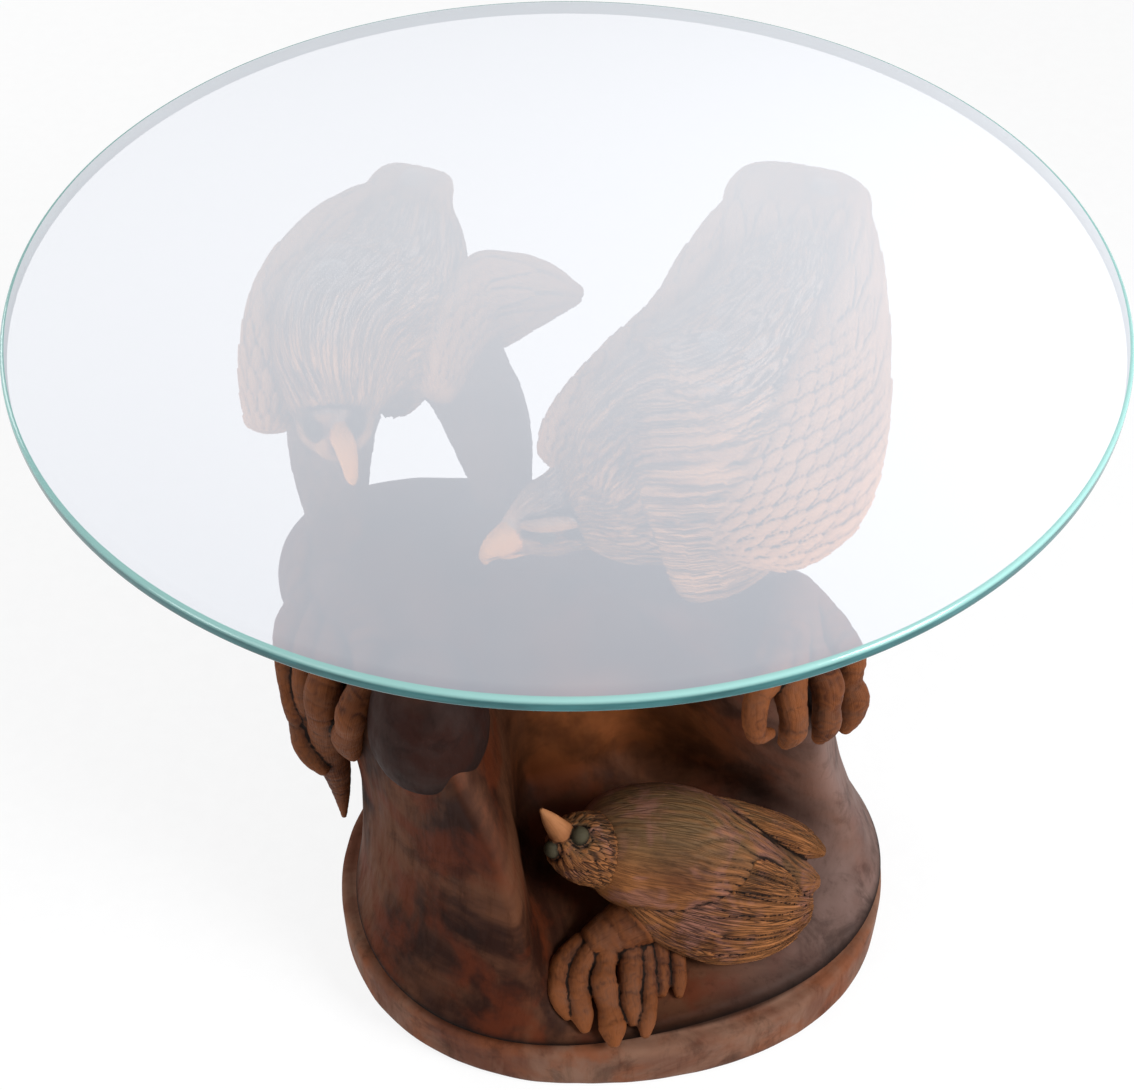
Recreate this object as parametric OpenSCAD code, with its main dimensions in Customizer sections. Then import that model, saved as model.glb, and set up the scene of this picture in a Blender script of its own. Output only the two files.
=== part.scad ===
// Carved coffee table: a round clear glass top lies on clear pads on the carved birds of a
// wooden stump. Millimetres, +Z up, origin on the floor under the middle of the glass.
// The viewer's side is -Y, so left is -X.

/* [Glass top] */
// Diameter of the glass
glass_d = 700; // [600:10:900]
// Thickness of the glass
glass_t = 10; // [6:1:15]
// Round of the polished edge
glass_edge = 3; // [1:0.5:3]

/* [Glass pads] */
// Diameter of a clear pad
pad_d = 18; // [12:1:24]
// Thickness of a clear pad
pad_t = 3; // [1:0.5:6]

/* [Plinth] */
// Mean radius of the plinth's uneven outline
plinth_r = 195; // [184:1:225]
// Height of the plinth
plinth_h = 50; // [35:1:80]
// How far the outline swells and dips
plinth_wave = 7; // [0:0.5:12]
// Plinth's middle, to the right of the glass's middle
plinth_x = 31; // [0:1:50]
// Plinth's middle, in front of the glass's middle
plinth_front = 80; // [60:1:100]
// Height of the groove cut round under the stump
groove_h = 6; // [3:0.5:12]
// Depth of that groove
groove_depth = 14; // [11:0.5:20]

/* [Stump] */
// Height of the stump above the plinth
stump_h = 250; // [200:5:320]
// Half width of the stump below its shoulder
stump_rx = 170; // [155:1:178]
// Half depth of the stump below its shoulder
stump_ry = 150; // [130:1:165]
// How far the stump leans to the left at the top
lean_left = 23; // [0:1:40]
// How far the stump leans back at the top
lean_back = 5; // [0:1:20]
// Half width of the flat deck on the stump's top
deck_rx = 140; // [120:1:160]
// Half depth of the flat deck
deck_ry = 120; // [100:1:135]
// Bearing of the hollow's left fold at the plinth, in degrees from the right
hollow_left = 250; // [240:1:256]
// Bearing of the hollow's right fold at the plinth, in degrees to the front
hollow_right = 6; // [0:1:14]
// How far both folds draw together at the deck, in degrees
hollow_narrow = 20; // [12:1:24]
// Distance of the hollow's back wall in front of the glass's middle
hollow_back = 68; // [50:1:100]
// Height of the slope that the hollow's floor rises to its back wall
slope_h = 72; // [60:1:100]
// How far the perch under the rear eagle's right foot stands out
perch_r = 75; // [60:1:85]

/* [Boulder] */
// Half width of the smooth boulder at the stump's front left
boulder_rx = 41; // [32:1:50]
// Half depth of the boulder
boulder_ry = 46; // [36:1:56]
// Half height of the boulder
boulder_rz = 58; // [46:1:70]

/* [Eagles] */
// Height of the carved birds above the deck
birds_h = 207; // [180:1:240]
// Half width of the rear eagle's body
rear_body_r = 57; // [50:1:64]
// Half width of the rear eagle's head
rear_head_r = 27; // [22:1:32]
// Half width of the right eagle's body
right_body_r = 78; // [72:1:86]
// Half width of the right eagle's head
right_head_r = 29; // [24:1:34]
// Half width of an eagle's spread tail
tail_r = 50; // [40:1:60]
// Thickness of a wing at its middle
wing_t = 34; // [26:1:44]
// Radius of an eagle's toe
toe_r = 10; // [8:0.5:11]
// Length of the long claw at the left
claw_len = 50; // [40:1:60]

/* [Nestling] */
// Half length of the nestling's body
chick_len = 80; // [72:1:88]
// Half width of the nestling's body
chick_r = 48; // [42:1:52]
// Radius of the nestling's head
chick_head_r = 24; // [20:1:28]
// Radius of the nestling's toe
chick_toe_r = 8; // [7:0.5:9]

/* [Dowels] */
// Diameter of a dowel
dowel_d = 12; // [8:1:14]
// Length of a dowel
dowel_len = 50; // [36:1:60]
// Clearance round a dowel
dowel_fit = 0.2; // [0.1:0.05:0.5]

/* [Hidden] */

deck_z = plinth_h + stump_h;
seat_z = deck_z + birds_h;
glass_z = seat_z + pad_t;
far = 1000;
carved = "#8f5e38";
smooth_wood = "#7a6258";

// Uneven outline shared by the plinth and the stump's foot
function wave(a) = plinth_wave*(1.7*cos(a + 81) + 1.6*cos(2*a - 11) + 0.9*cos(3*a + 68));
foot_inset = 8;
foot_sway = 6;
shoulder = 0.2;
left_fold = 0.36;
right_fold = 0.42;

// Middle of the stump and its girth, t running from 0 at the plinth to 1 at the deck
function mid(t) = [plinth_x - lean_left*min(t, 1), lean_back*min(t, 1) - plinth_front];
function edge(t) = sqrt(1 - pow(min(1, max(0, (t - 1 + shoulder)/shoulder)), 2));
function flare(r, t) = (plinth_r - foot_inset - r)*pow(max(0, 1 - t), 3);
function girth_x(t) = deck_rx + (stump_rx - deck_rx)*edge(t) + flare(stump_rx, t);
function girth_y(t) = deck_ry + (stump_ry - deck_ry)*edge(t) + flare(stump_ry, t);
function rise(t) = let (u = min(1, max(0, (t - 0.4)/0.45))) u*u*(3 - 2*u);
function perch(a, t) = perch_r*exp(-pow((a - 152)/27, 2))*rise(t)*(0.82 + 0.18*edge(t));
function foot(a) = wave(a) - foot_sway*cos(3*a - 186);
function girth(a, t) = foot(a)*pow(max(0, 1 - t), 3) + perch(a, t)
  + 1/sqrt(pow(cos(a)/girth_x(t), 2) + pow(sin(a)/girth_y(t), 2));
function level(t) = plinth_h + stump_h*t;
function bark(a, t, off) = let (m = mid(t), r = girth(a, t) + off)
  [m[0] + r*cos(a), m[1] + r*sin(a), level(t)];

// One outline of the stump: round the outside from fold to fold, then back through the hollow,
// which is the front pushed in towards its back wall
half = 36;
function left_lip(t) = hollow_left - hollow_narrow*t*t;
function right_lip(t) = -hollow_right - 1.1*hollow_narrow*t*t;
function lip_to_lip(t, f) = right_lip(t)*(1 - f) + left_lip(t)*f;
function front(t, f) = right_lip(t)*(1 - f) + (left_lip(t) - 360)*f;
function ease(u) = let (v = min(1, max(0, u))) v*v*(3 - 2*v);
function wall(t, f) = let (
    back = [mid(t)[0] - 10, 7*t - hollow_back, level(t)],
    push = sin(90*min(1, stump_h*t/slope_h))*ease(f/right_fold)*ease((1 - f)/left_fold))
  bark(front(t, f), t, 0) + push*(back - bark(front(t, 0.5), t, 0));
function outline(t) = concat([for (j = [0:half]) bark(lip_to_lip(t, j/half), t, 0)],
  [for (j = [half - 1:-1:1]) wall(t, j/half)]);
function inner(j) = (2*half - j) % (2*half);

module log_form() {
  ts = [0, 0.02, 0.05, 0.09, 0.14, 0.2, 0.27, 0.35, 0.45, 0.57, 0.69, 0.8, 0.86, 0.91, 0.95, 0.98, 1];
  n = 2*half;
  top = n*(len(ts) - 1);
  polyhedron(points = [for (t = ts) each outline(t)], faces = concat(
    [for (i = [0:len(ts) - 2], j = [0:n - 1]) let (a = i*n + j, b = i*n + (j + 1) % n) each
      [[a, a + n, b + n], [a, b + n, b]]],
    [for (j = [1:half - 1]) [top + j, top + inner(j), top + inner(j + 1)]],
    [for (j = [0:half - 2]) [top + j, top + inner(j + 1), top + j + 1]],
    [for (j = [1:half - 1]) [inner(j + 1), inner(j), j]],
    [for (j = [0:half - 2]) [j + 1, inner(j + 1), j]]));
}

// Smooth course through stations [x, y, z, half width, half height], k steps between two
function course(a, b, c, d, t) =
  0.5*(2*b + (c - a)*t + (2*a - 5*b + 4*c - d)*t*t + (3*b - a - 3*c + d)*t*t*t);
function smooth(s, k) = let (m = len(s) - 1) concat([for (i = [0:m - 1], j = [0:k - 1])
  course(s[max(i - 1, 0)], s[i], s[i + 1], s[min(i + 2, m)], j/k)], [s[m]]);
function unit(v) = v/norm(v);
function place(s) = [s[0], s[1], s[2]];
function heading(p, i) = unit(place(p[min(i + 1, len(p) - 1)]) - place(p[max(i - 1, 0)]));
function ring(p, i, up, n) = let (
    side = unit(cross(heading(p, i), up)),
    back = cross(side, heading(p, i)))
  [for (j = [0:n - 1]) place(p[i]) + p[i][3]*cos(360*j/n)*side + p[i][4]*sin(360*j/n)*back];
function sleeve(n) = concat([[for (j = [0:n - 1]) j]], [[for (j = [n - 1:-1:0]) n + j]],
  [for (j = [0:n - 1]) [j, n + j, n + (j + 1) % n, (j + 1) % n]]);

module loft(stations, up = [0, 0, 1], k = 2, n = 20) {
  p = smooth(stations, k);
  for (i = [0:len(p) - 2])
    hull()
      polyhedron(points = concat(ring(p, i, up, n), ring(p, i + 1, up, n)), faces = sleeve(n));
}

// Toes lie on the stump: stations [angle, t, distance off the bark, radius], drawn for a radius of 10 mm
function grip(s) = [for (q = s) let (r = q[3]*toe_r/10) concat(bark(q[0], q[1], q[2]), [r, r])];

// The birds stand on the deck, drawn for a height of 207 mm
module perched() {
  translate([mid(1)[0], mid(1)[1], deck_z])
    scale([1, 1, birds_h/207])
      children();
}

module above_seat() {
  translate([-far, -far, seat_z])
    cube([2*far, 2*far, far]);
}

module below_plinth_top() {
  translate([-far, -far, plinth_h - far])
    cube([2*far, 2*far, far]);
}

// Dowels: [x, y, z of the middle, tilt, turn]
boulder_turn = -140;
PLINTH_PEGS = [for (a = [10, 75, 135, 200])
  [plinth_x + 140*cos(a), 140*sin(a) - plinth_front, plinth_h, 0, 0]];
BODY_PEGS = [for (p = [[100, 31], [103, 49]]) [mid(1)[0] + p[0], mid(1)[1] + p[1], deck_z, 0, 0]];
LEG_PEGS = [[mid(1)[0] - 55, mid(1)[1] + 105, deck_z, 0, 0]];
BOULDER_PEGS = [concat(bark(boulder_turn, 0.86, -14), [90, boulder_turn])];
CHICK_PEGS = [[plinth_x + 64, -82 - hollow_back, plinth_h + 0.4*slope_h, 0, 0]];

module pegs(places, extra = 0, sides = 0) {
  for (p = places)
    translate([p[0], p[1], p[2]])
      rotate([0, p[3], p[4]])
        cylinder(d = dowel_d + 2*extra, h = dowel_len + 5*extra, center = true, $fn = sides);
}

// Right eagle, head to the left, tail at the back right
module right_body_form() {
  perched() {
    loft([[-44, 15, 52, 13, 15], [-26, 21, 58, right_head_r - 5, right_head_r - 3],
      [-2, 29, 66, right_head_r + 1, right_head_r + 2], [26, 27, 78, 46, 54],
      [52, 29, 96, 62, 86], [76, 29, 102, right_body_r - 8, 110],
      [104, 59, 114, right_body_r, 100], [132, 111, 132, right_body_r - 12, 78],
      [148, 159, 152, 52, 54], [158, 195, 174, 36, 28]], n = 24);
    loft([[-32, 17, 58, 15, 15], [-46, 11, 54, 11, 12], [-56, 8, 48, 8, 10], [-62, 6, 41, 5, 6],
      [-63, 6, 33, 1.5, 2]], n = 14);
    loft([[-36, 4, 74, 3, 2], [-26, -3, 79, 5, 4], [-12, -3, 81, 5, 5], [4, 2, 78, 3, 3]], n = 10);
    translate([-21, 0, 66])
      sphere(6, $fn = 16);
  }
}

module right_left_wing_form() {
  perched()
    loft([[90, -27, 92, 0.3*wing_t, 16], [102, -30, 104, 0.5*wing_t, 36],
      [126, -22, 118, 0.55*wing_t, 52], [152, 4, 134, 0.55*wing_t, 60],
      [172, 46, 148, 0.5*wing_t, 56], [184, 94, 160, 0.42*wing_t, 46],
      [190, 140, 172, 0.34*wing_t, 34], [191, 180, 186, 0.22*wing_t, 20],
      [188, 206, 196, 0.1*wing_t, 8]], up = [-0.34, 0.23, 0.91]);
}

module right_right_wing_form() {
  perched()
    loft([[-18, 48, 92, 0.25*wing_t, 14], [-4, 58, 104, 0.4*wing_t, 32],
      [24, 78, 116, 0.5*wing_t, 46], [58, 111, 132, 0.5*wing_t, 48],
      [78, 151, 150, 0.4*wing_t, 40], [98, 187, 168, 0.3*wing_t, 28],
      [116, 211, 184, 0.2*wing_t, 14], [128, 221, 190, 0.1*wing_t, 6]]);
}

module right_tail_form() {
  perched()
    loft([[138, 135, 170, tail_r - 8, 16], [144, 163, 186, tail_r - 2, 13],
      [149, 189, 197, tail_r, 12], [154, 208, 202, tail_r - 6, 9],
      [157, 218, 204, tail_r - 20, 5]]);
}

// The foot clings to the fold at the hollow's right
module right_foot_form() {
  up = [1, 0.2, 0.3];
  for (s = [
      [[6, 1.01, 6, 12], [0, 1.03, 8, 15.5], [-8, 1.03, 6, 17], [-16, 1.03, 4, 15.5], [-24, 1.02, 2, 11]],
      [[0, 1.03, 12, 13], [-6, 0.98, 20, 12], [-8, 0.9, 19, 11], [-9, 0.83, 15, 9], [-10, 0.77, 18, 11],
        [-11, 0.71, 16, 9], [-12, 0.66, 11, 5]],
      [[-8, 1.04, 12, 12], [-15, 1.01, 20, 11], [-20, 0.95, 17, 11.5], [-22, 0.89, 12, 9.5],
        [-23, 0.83, 10, 10], [-24, 0.77, 5, 5]],
      [[-14, 1.05, 8, 12], [-23, 1.03, 17, 10], [-29, 0.99, 14, 11], [-31, 0.93, 6, 9.5],
        [-32, 0.88, 2, 9.5], [-33, 0.83, -5, 5]],
      [[-18, 1.05, 6, 11], [-28, 1.04, 12, 9], [-36, 1.02, 12, 8.5], [-41, 0.98, 6, 8], [-41, 0.93, -1, 6.5],
        [-37, 0.91, -1, 3.5]]])
    loft(grip(s), up, n = 10);
}

// Rear eagle, facing the viewer
module rear_body_form() {
  perched() {
    loft([[-160, 41, 108, 14, 15], [-161, 51, 111, rear_head_r - 3, rear_head_r - 2],
      [-162, 62, 115, rear_head_r, rear_head_r + 3], [-162, 75, 126, 36, 46],
      [-157, 93, 139, rear_body_r - 8, 70], [-144, 117, 145, rear_body_r, 68],
      [-131, 141, 150, rear_body_r, 60], [-121, 167, 164, rear_body_r - 10, 44],
      [-116, 189, 180, 36, 28], [-114, 205, 190, 22, 14]], n = 24);
    loft([[-156, 47, 121, 10, 9], [-153, 33, 119, 8, 9], [-150, 25, 109, 6, 9],
      [-149, 22, 98, 4, 5], [-148, 24, 90, 1.5, 2]], n = 14);
    for (p = [[-173, 43, 122], [-146, 45, 124]])
      translate(p)
        sphere(5.5, $fn = 16);
  }
}

module rear_left_wing_form() {
  perched()
    loft([[-94, 79, 124, 0.3*wing_t, 16], [-88, 99, 134, 0.4*wing_t, 38],
      [-68, 139, 146, 0.4*wing_t, 42], [-46, 147, 150, 0.35*wing_t, 36],
      [-22, 151, 150, 0.25*wing_t, 24], [0, 152, 148, 0.1*wing_t, 6]]);
}

module rear_right_wing_form() {
  perched()
    loft([[-209, 75, 100, 0.45*wing_t, 18], [-207, 97, 120, 0.6*wing_t, 34],
      [-200, 123, 144, 0.6*wing_t, 42], [-186, 149, 162, 0.6*wing_t, 38],
      [-168, 175, 178, 0.5*wing_t, 28], [-152, 193, 188, 0.35*wing_t, 18],
      [-140, 205, 194, 0.2*wing_t, 9]]);
}

module rear_tail_form() {
  perched()
    loft([[-126, 161, 168, tail_r - 12, 14], [-122, 181, 186, tail_r - 14, 12],
      [-117, 197, 196, tail_r - 18, 12], [-112, 209, 201, tail_r - 22, 10],
      [-109, 217, 203, tail_r - 27, 7]]);
}

module rear_left_leg_form() {
  perched()
    loft([[-82, 123, 110, 30, 30], [-68, 121, 75, 30, 30], [-60, 119, 40, 27, 27],
      [-56, 116, 12, 22, 22], [-55, 114, -14, 20, 20]], up = [0, 1, 0], n = 18);
}

module rear_right_leg_form() {
  perched()
    loft([[-166, 111, 100, 30, 30], [-172, 103, 70, 30, 30], [-174, 97, 40, 27, 27],
      [-174, 94, 12, 23, 23], [-173, 92, -12, 21, 21]], up = [0, 1, 0], n = 18);
}

// The foot lies over the stump's left shoulder, its long claw hangs down the front
module rear_foot_form() {
  up = [-1, 0.3, 0.2];
  c = claw_len/stump_h;
  for (s = [
      [[156, 1.02, -18, 12], [164, 1.03, -6, 15.5], [176, 1.03, 0, 17], [188, 1.03, 2, 17], [198, 1.02, 2, 12]],
      [[163, 1, 2, 8.5], [167, 1.05, 10, 8.5], [172, 1.04, 14, 8.5], [176, 0.98, 12, 7], [179, 0.92, 6, 5]],
      [[174, 1.02, 6, 11], [181, 0.94, 15, 11], [186, 0.86, 20, 9.5], [188, 0.8, 23, 8.5], [190, 0.75, 25, 10],
        [191, 0.7, 27, 8.5], [193, 0.65, 29, 10], [195, 0.61, 28, 8.5], [197, 0.57, 24, 4]],
      [[180, 1.03, 6, 12], [187, 0.96, 12, 11.5], [190, 0.88, 14, 10], [191, 0.81, 14, 11.5],
        [192, 0.73, 16, 10], [193, 0.65, 17, 10], [194, 0.59, 15, 5]],
      [[187, 1.04, 8, 11.5], [195, 0.98, 15, 11.5], [197, 0.88, 13, 13], [196, 0.78, 11, 13.5],
        [194, 0.68, 13, 13.5], [193, 0.58, 15, 12], [192, 0.5, 15, 10.5], [191, 0.45, 15, 9],
        [190, 0.45 - 0.5*c, 14, 6], [190, 0.45 - c, 13, 2]],
      [[195, 1.04, 4, 12], [204, 1, 13, 11], [208, 0.93, 12, 11.5], [206, 0.85, 8, 9.5], [203, 0.78, 7, 11],
        [201, 0.71, 5, 9], [199, 0.64, 3, 5]]])
    loft(grip(s), up, n = 10);
}

// The nestling squats on the hollow's slope, head to the left
module nested() {
  translate([plinth_x, 18 - hollow_back, plinth_h])
    children();
}

module chick_body_form() {
  l = chick_len/80;
  r = chick_r;
  nested() {
    loft([[50 - 72*l, -98, 80, r - 30, r - 30], [50 - 56*l, -97, 78, r - 12, r - 12],
      [50 - 30*l, -98, 74, r - 2, r - 2], [50, -99, 68, r, r], [50 + 26*l, -101, 60, r - 6, r - 6],
      [50 + 52*l, -102, 50, r - 16, r - 16], [50 + 74*l, -103, 44, 24, 22],
      [50 + 92*l, -103, 40, 15, 13], [50 + 102*l, -103, 38, 6, 5]], n = 24);
    loft([[21, -80, 90, 8, 12], [40, -80, 90, 14, 20], [65, -80, 82, 16, 22], [98, -79, 70, 16, 20],
      [130, -79, 58, 14, 15], [149, -81, 50, 9, 8], [158, -83, 46, 3, 3]], n = 16);
    loft([[8, -128, 72, 5, 10], [21, -130, 70, 9, 24], [38, -132, 66, 12, 36], [60, -135, 60, 13, 42],
      [85, -137, 53, 12, 43], [111, -134, 44, 10, 36], [130, -127, 36, 7, 26],
      [146, -118, 30, 3, 12]], up = [0, 0.5, 0.86], n = 20);
  }
}

module chick_head_form() {
  r = chick_head_r;
  nested() {
    loft([[-34, -118, 112, r - 12, r - 12], [-30, -117, 106, r - 4, r - 4], [-22, -115, 98, r, r],
      [-12, -113, 88, r, r], [0, -111, 78, r - 4, r - 4]], up = [0, 1, 0], n = 18);
    loft([[-28, -117, 104, 12, 12], [-36, -117, 118, 9, 8], [-43, -116, 130, 6, 5],
      [-49, -115, 140, 1.5, 1.5]], up = [0, 1, 0], n = 12);
    for (p = [[0, -6, 20], [-19, -10, 10]])
      translate([-22, -115, 98] + p*r/24)
        sphere(6.5, $fn = 16);
  }
}

// A thigh and seven toes, drawn for a radius of 8 mm
module chick_feet_form() {
  k = chick_toe_r/8;
  nested()
    for (s = [
        [[-12, -152, 30, 14], [8, -141, 34, 18.5], [29, -133, 36, 16.5], [50, -128, 32, 13]],
        [[-20, -150, 30, 8], [-35, -167, 29, 8], [-38, -184, 25, 7.5], [-34, -194, 18, 6.5],
          [-30, -201, 12, 3]],
        [[-12, -154, 30, 9.5], [-22, -169, 27, 9], [-24, -185, 21, 9], [-20, -200, 13, 8],
          [-18, -208, 7, 3.5]],
        [[-3, -155, 30, 9.5], [-5, -172, 27, 8], [-5, -181, 24, 10], [-2, -194, 15, 7.5], [1, -206, 8, 10],
          [2, -217, 3, 4]],
        [[14, -152, 27, 9.5], [14, -170, 20, 9], [13, -184, 14, 8], [15, -195, 9, 7.5], [16, -202, 6, 3.5]],
        [[24, -144, 26, 8], [27, -166, 17, 6.5], [27, -186, 9, 6.5], [25, -201, 6, 6.5], [24, -210, 3, 3]],
        [[34, -140, 27, 8], [36, -156, 19, 6.5], [37, -170, 12, 6.5], [37, -180, 8, 3]],
        [[46, -136, 26, 7], [48, -154, 17, 6], [49, -169, 11, 6], [49, -180, 7, 3]]])
      loft([for (q = s) [q[0], q[1], q[2], q[3]*k, q[3]*k]], n = 10);
}

module boulder_form() {
  m = bark(boulder_turn, 0.94, -21);
  loft([for (f = [-1, -0.94, -0.8, -0.55, -0.2, 0.2, 0.55, 0.8, 0.94, 1])
    concat(m + [0, 0, f*boulder_rz], [max(1, boulder_rx*sqrt(1 - f*f)*(1 - 0.12*f)),
      max(1, boulder_ry*sqrt(1 - f*f)*(1 - 0.12*f))])], up = [0, 1, 0], n = 24);
}

// Parts
module glass_top() {
  r = glass_d/2 - glass_edge;
  color("#bfe3dc", 0.35)
    translate([0, 0, glass_z])
      rotate_extrude($fn = 0) {
        square([r, glass_t]);
        translate([0, glass_edge])
          square([glass_d/2, glass_t - 2*glass_edge]);
        for (z = [glass_edge, glass_t - glass_edge])
          translate([r, z])
            circle(glass_edge);
      }
}

PADS = [[-158, 99], [-112, 203], [166, 192], [82, 25]];

module glass_pads() {
  color("#e8eeee", 0.5)
    for (p = PADS)
      translate([mid(1)[0] + p[0], mid(1)[1] + p[1], seat_z])
        cylinder(d = pad_d, h = pad_t);
}

module plinth_outline(inset) {
  polygon([for (a = [0:5:355]) (plinth_r + wave(a) - inset)*[cos(a), sin(a)]]);
}

module plinth() {
  color(smooth_wood)
    difference() {
      translate([plinth_x, -plinth_front, 0])
        union() {
          linear_extrude(plinth_h - groove_h)
            plinth_outline(0);
          translate([0, 0, plinth_h - groove_h])
            linear_extrude(groove_h)
              plinth_outline(groove_depth);
        }
      pegs(PLINTH_PEGS, dowel_fit);
    }
}

module stump() {
  color(smooth_wood)
    difference() {
      log_form();
      pegs(PLINTH_PEGS, dowel_fit);
      pegs(BODY_PEGS, dowel_fit);
      pegs(LEG_PEGS, dowel_fit);
      pegs(BOULDER_PEGS, dowel_fit);
      pegs(CHICK_PEGS, dowel_fit);
    }
}

module boulder() {
  color(smooth_wood)
    difference() {
      boulder_form();
      log_form();
      pegs(BOULDER_PEGS, dowel_fit, 32);
    }
}

module rear_eagle_body() {
  color(carved)
    difference() {
      rear_body_form();
      above_seat();
    }
}

module rear_eagle_left_wing() {
  color(carved)
    difference() {
      rear_left_wing_form();
      rear_body_form();
      above_seat();
    }
}

module rear_eagle_right_wing() {
  color(carved)
    difference() {
      rear_right_wing_form();
      rear_body_form();
      above_seat();
    }
}

module rear_eagle_tail() {
  color(carved)
    difference() {
      rear_tail_form();
      rear_body_form();
      rear_right_wing_form();
      rear_left_wing_form();
      above_seat();
    }
}

module rear_eagle_left_leg() {
  color(carved)
    difference() {
      rear_left_leg_form();
      log_form();
      rear_body_form();
      rear_left_wing_form();
      pegs(LEG_PEGS, dowel_fit, 32);
    }
}

module rear_eagle_right_leg() {
  color(carved)
    difference() {
      rear_right_leg_form();
      log_form();
      rear_body_form();
      rear_right_wing_form();
    }
}

module rear_eagle_foot() {
  color(carved)
    difference() {
      rear_foot_form();
      log_form();
      boulder_form();
      rear_right_leg_form();
    }
}

module right_eagle_body() {
  color(carved)
    difference() {
      right_body_form();
      log_form();
      above_seat();
      pegs(BODY_PEGS, dowel_fit, 32);
    }
}

module right_eagle_left_wing() {
  color(carved)
    difference() {
      right_left_wing_form();
      log_form();
      right_body_form();
      above_seat();
    }
}

module right_eagle_right_wing() {
  color(carved)
    difference() {
      right_right_wing_form();
      right_body_form();
      above_seat();
    }
}

module right_eagle_tail() {
  color(carved)
    difference() {
      right_tail_form();
      right_body_form();
      right_left_wing_form();
      right_right_wing_form();
      above_seat();
    }
}

module right_eagle_foot() {
  color(carved)
    difference() {
      right_foot_form();
      log_form();
      right_body_form();
      right_left_wing_form();
    }
}

module nestling_body() {
  color(carved)
    difference() {
      chick_body_form();
      below_plinth_top();
      log_form();
      pegs(CHICK_PEGS, dowel_fit, 32);
    }
}

module nestling_head() {
  color(carved)
    difference() {
      chick_head_form();
      chick_body_form();
      log_form();
    }
}

module nestling_feet() {
  color(carved)
    difference() {
      chick_feet_form();
      chick_body_form();
      below_plinth_top();
      log_form();
    }
}

module dowels() {
  color("#c9a06c") {
    pegs(PLINTH_PEGS);
    pegs(BODY_PEGS);
    pegs(LEG_PEGS);
    pegs(BOULDER_PEGS);
    pegs(CHICK_PEGS);
  }
}

glass_top();
glass_pads();
plinth();
stump();
boulder();
rear_eagle_body();
rear_eagle_left_wing();
rear_eagle_right_wing();
rear_eagle_tail();
rear_eagle_left_leg();
rear_eagle_right_leg();
rear_eagle_foot();
right_eagle_body();
right_eagle_left_wing();
right_eagle_right_wing();
right_eagle_tail();
right_eagle_foot();
nestling_body();
nestling_head();
nestling_feet();
dowels();
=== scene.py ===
import math

import bmesh
import bpy
import numpy as np
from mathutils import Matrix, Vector, noise
from mathutils.bvhtree import BVHTree


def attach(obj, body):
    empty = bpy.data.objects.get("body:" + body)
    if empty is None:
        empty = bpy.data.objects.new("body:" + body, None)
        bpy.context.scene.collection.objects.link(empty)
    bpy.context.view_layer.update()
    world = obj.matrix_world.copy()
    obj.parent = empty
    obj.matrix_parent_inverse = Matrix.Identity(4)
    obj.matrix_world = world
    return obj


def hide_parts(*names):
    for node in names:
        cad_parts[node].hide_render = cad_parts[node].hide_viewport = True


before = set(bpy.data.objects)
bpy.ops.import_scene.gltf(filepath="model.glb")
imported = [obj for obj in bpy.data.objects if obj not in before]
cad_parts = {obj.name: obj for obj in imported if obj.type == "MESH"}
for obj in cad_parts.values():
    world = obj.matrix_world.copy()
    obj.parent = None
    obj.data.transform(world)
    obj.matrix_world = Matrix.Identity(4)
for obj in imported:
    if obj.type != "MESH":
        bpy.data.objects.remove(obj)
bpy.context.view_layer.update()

TAU = 2*math.pi
MM = 0.001
COARSE = 1.0

# Sizes of the table, in millimetres, as in the part's source
PLINTH_R, PLINTH_H, PLINTH_WAVE, PLINTH_X, PLINTH_FRONT = 195, 50, 7, 31, 80
GROOVE_H, GROOVE_DEPTH, FOOT_INSET, FOOT_SWAY = 6, 14, 8, 6
STUMP_H, STUMP_RX, STUMP_RY, LEAN_LEFT, LEAN_BACK = 250, 170, 150, 23, 5
DECK_RX, DECK_RY, SHOULDER = 140, 120, 0.2
HOLLOW_LEFT, HOLLOW_RIGHT, HOLLOW_NARROW, HOLLOW_BACK, SLOPE_H = 250, 6, 20, 68, 72
LEFT_FOLD, RIGHT_FOLD, PERCH_R, PERCH_TURN, PERCH_SPREAD = 0.36, 0.42, 75, 152, 27
BOULDER_R, BOULDER_TURN, BOULDER_T, BOULDER_OFF, BOULDER_TAPER = (41, 46, 58), -140, 0.94, -21, 0.12
DECK_Z = PLINTH_H + STUMP_H
SEAT_Z = DECK_Z + 207
GLASS_D, GLASS_T, GLASS_EDGE, PAD_T, GLASS_IOR = 700, 10, 3, 3, 1.5
GLASS_Z = SEAT_Z + PAD_T
HEAD_RIGHT, BODY_RIGHT, HEAD_REAR, BODY_REAR = 29, 78, 27, 57
TAIL_R, WING_T, TOE_R, CLAW = 50, 34, 10, 50/250
CHICK_R, CHICK_HEAD_R, CHICK_TOE_R = 48, 24, 8

PLINTH_TURNS, STUMP_LEVELS, STUMP_TURNS, HOLLOW_TURNS = 300, 120, 330, 210
CAP_ROWS, HULL_TURNS, GLASS_TURNS, GLASS_BEND, GLASS_RINGS = 14, 40, 256, 7, (80, 170, 260)

# Rounds of smoothing that crevices are measured against, and how a deep fold is filled, in millimetres
CREVICE_ROUNDS, FILL_ROUNDS, FILL_MOST, FILL_RUN = 14, 60, 9, 18


def cosd(a):
    return np.cos(np.radians(a))


def sind(a):
    return np.sin(np.radians(a))


def ease(u):
    u = np.clip(u, 0, 1)
    return u*u*(3 - 2*u)


def fade(a, start, end):
    """0 up to start, 1 from end on."""
    return ease((a - start)/(end - start))


def bell(a, centre, width):
    return np.exp(-((a - centre)/width)**2)


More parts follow.
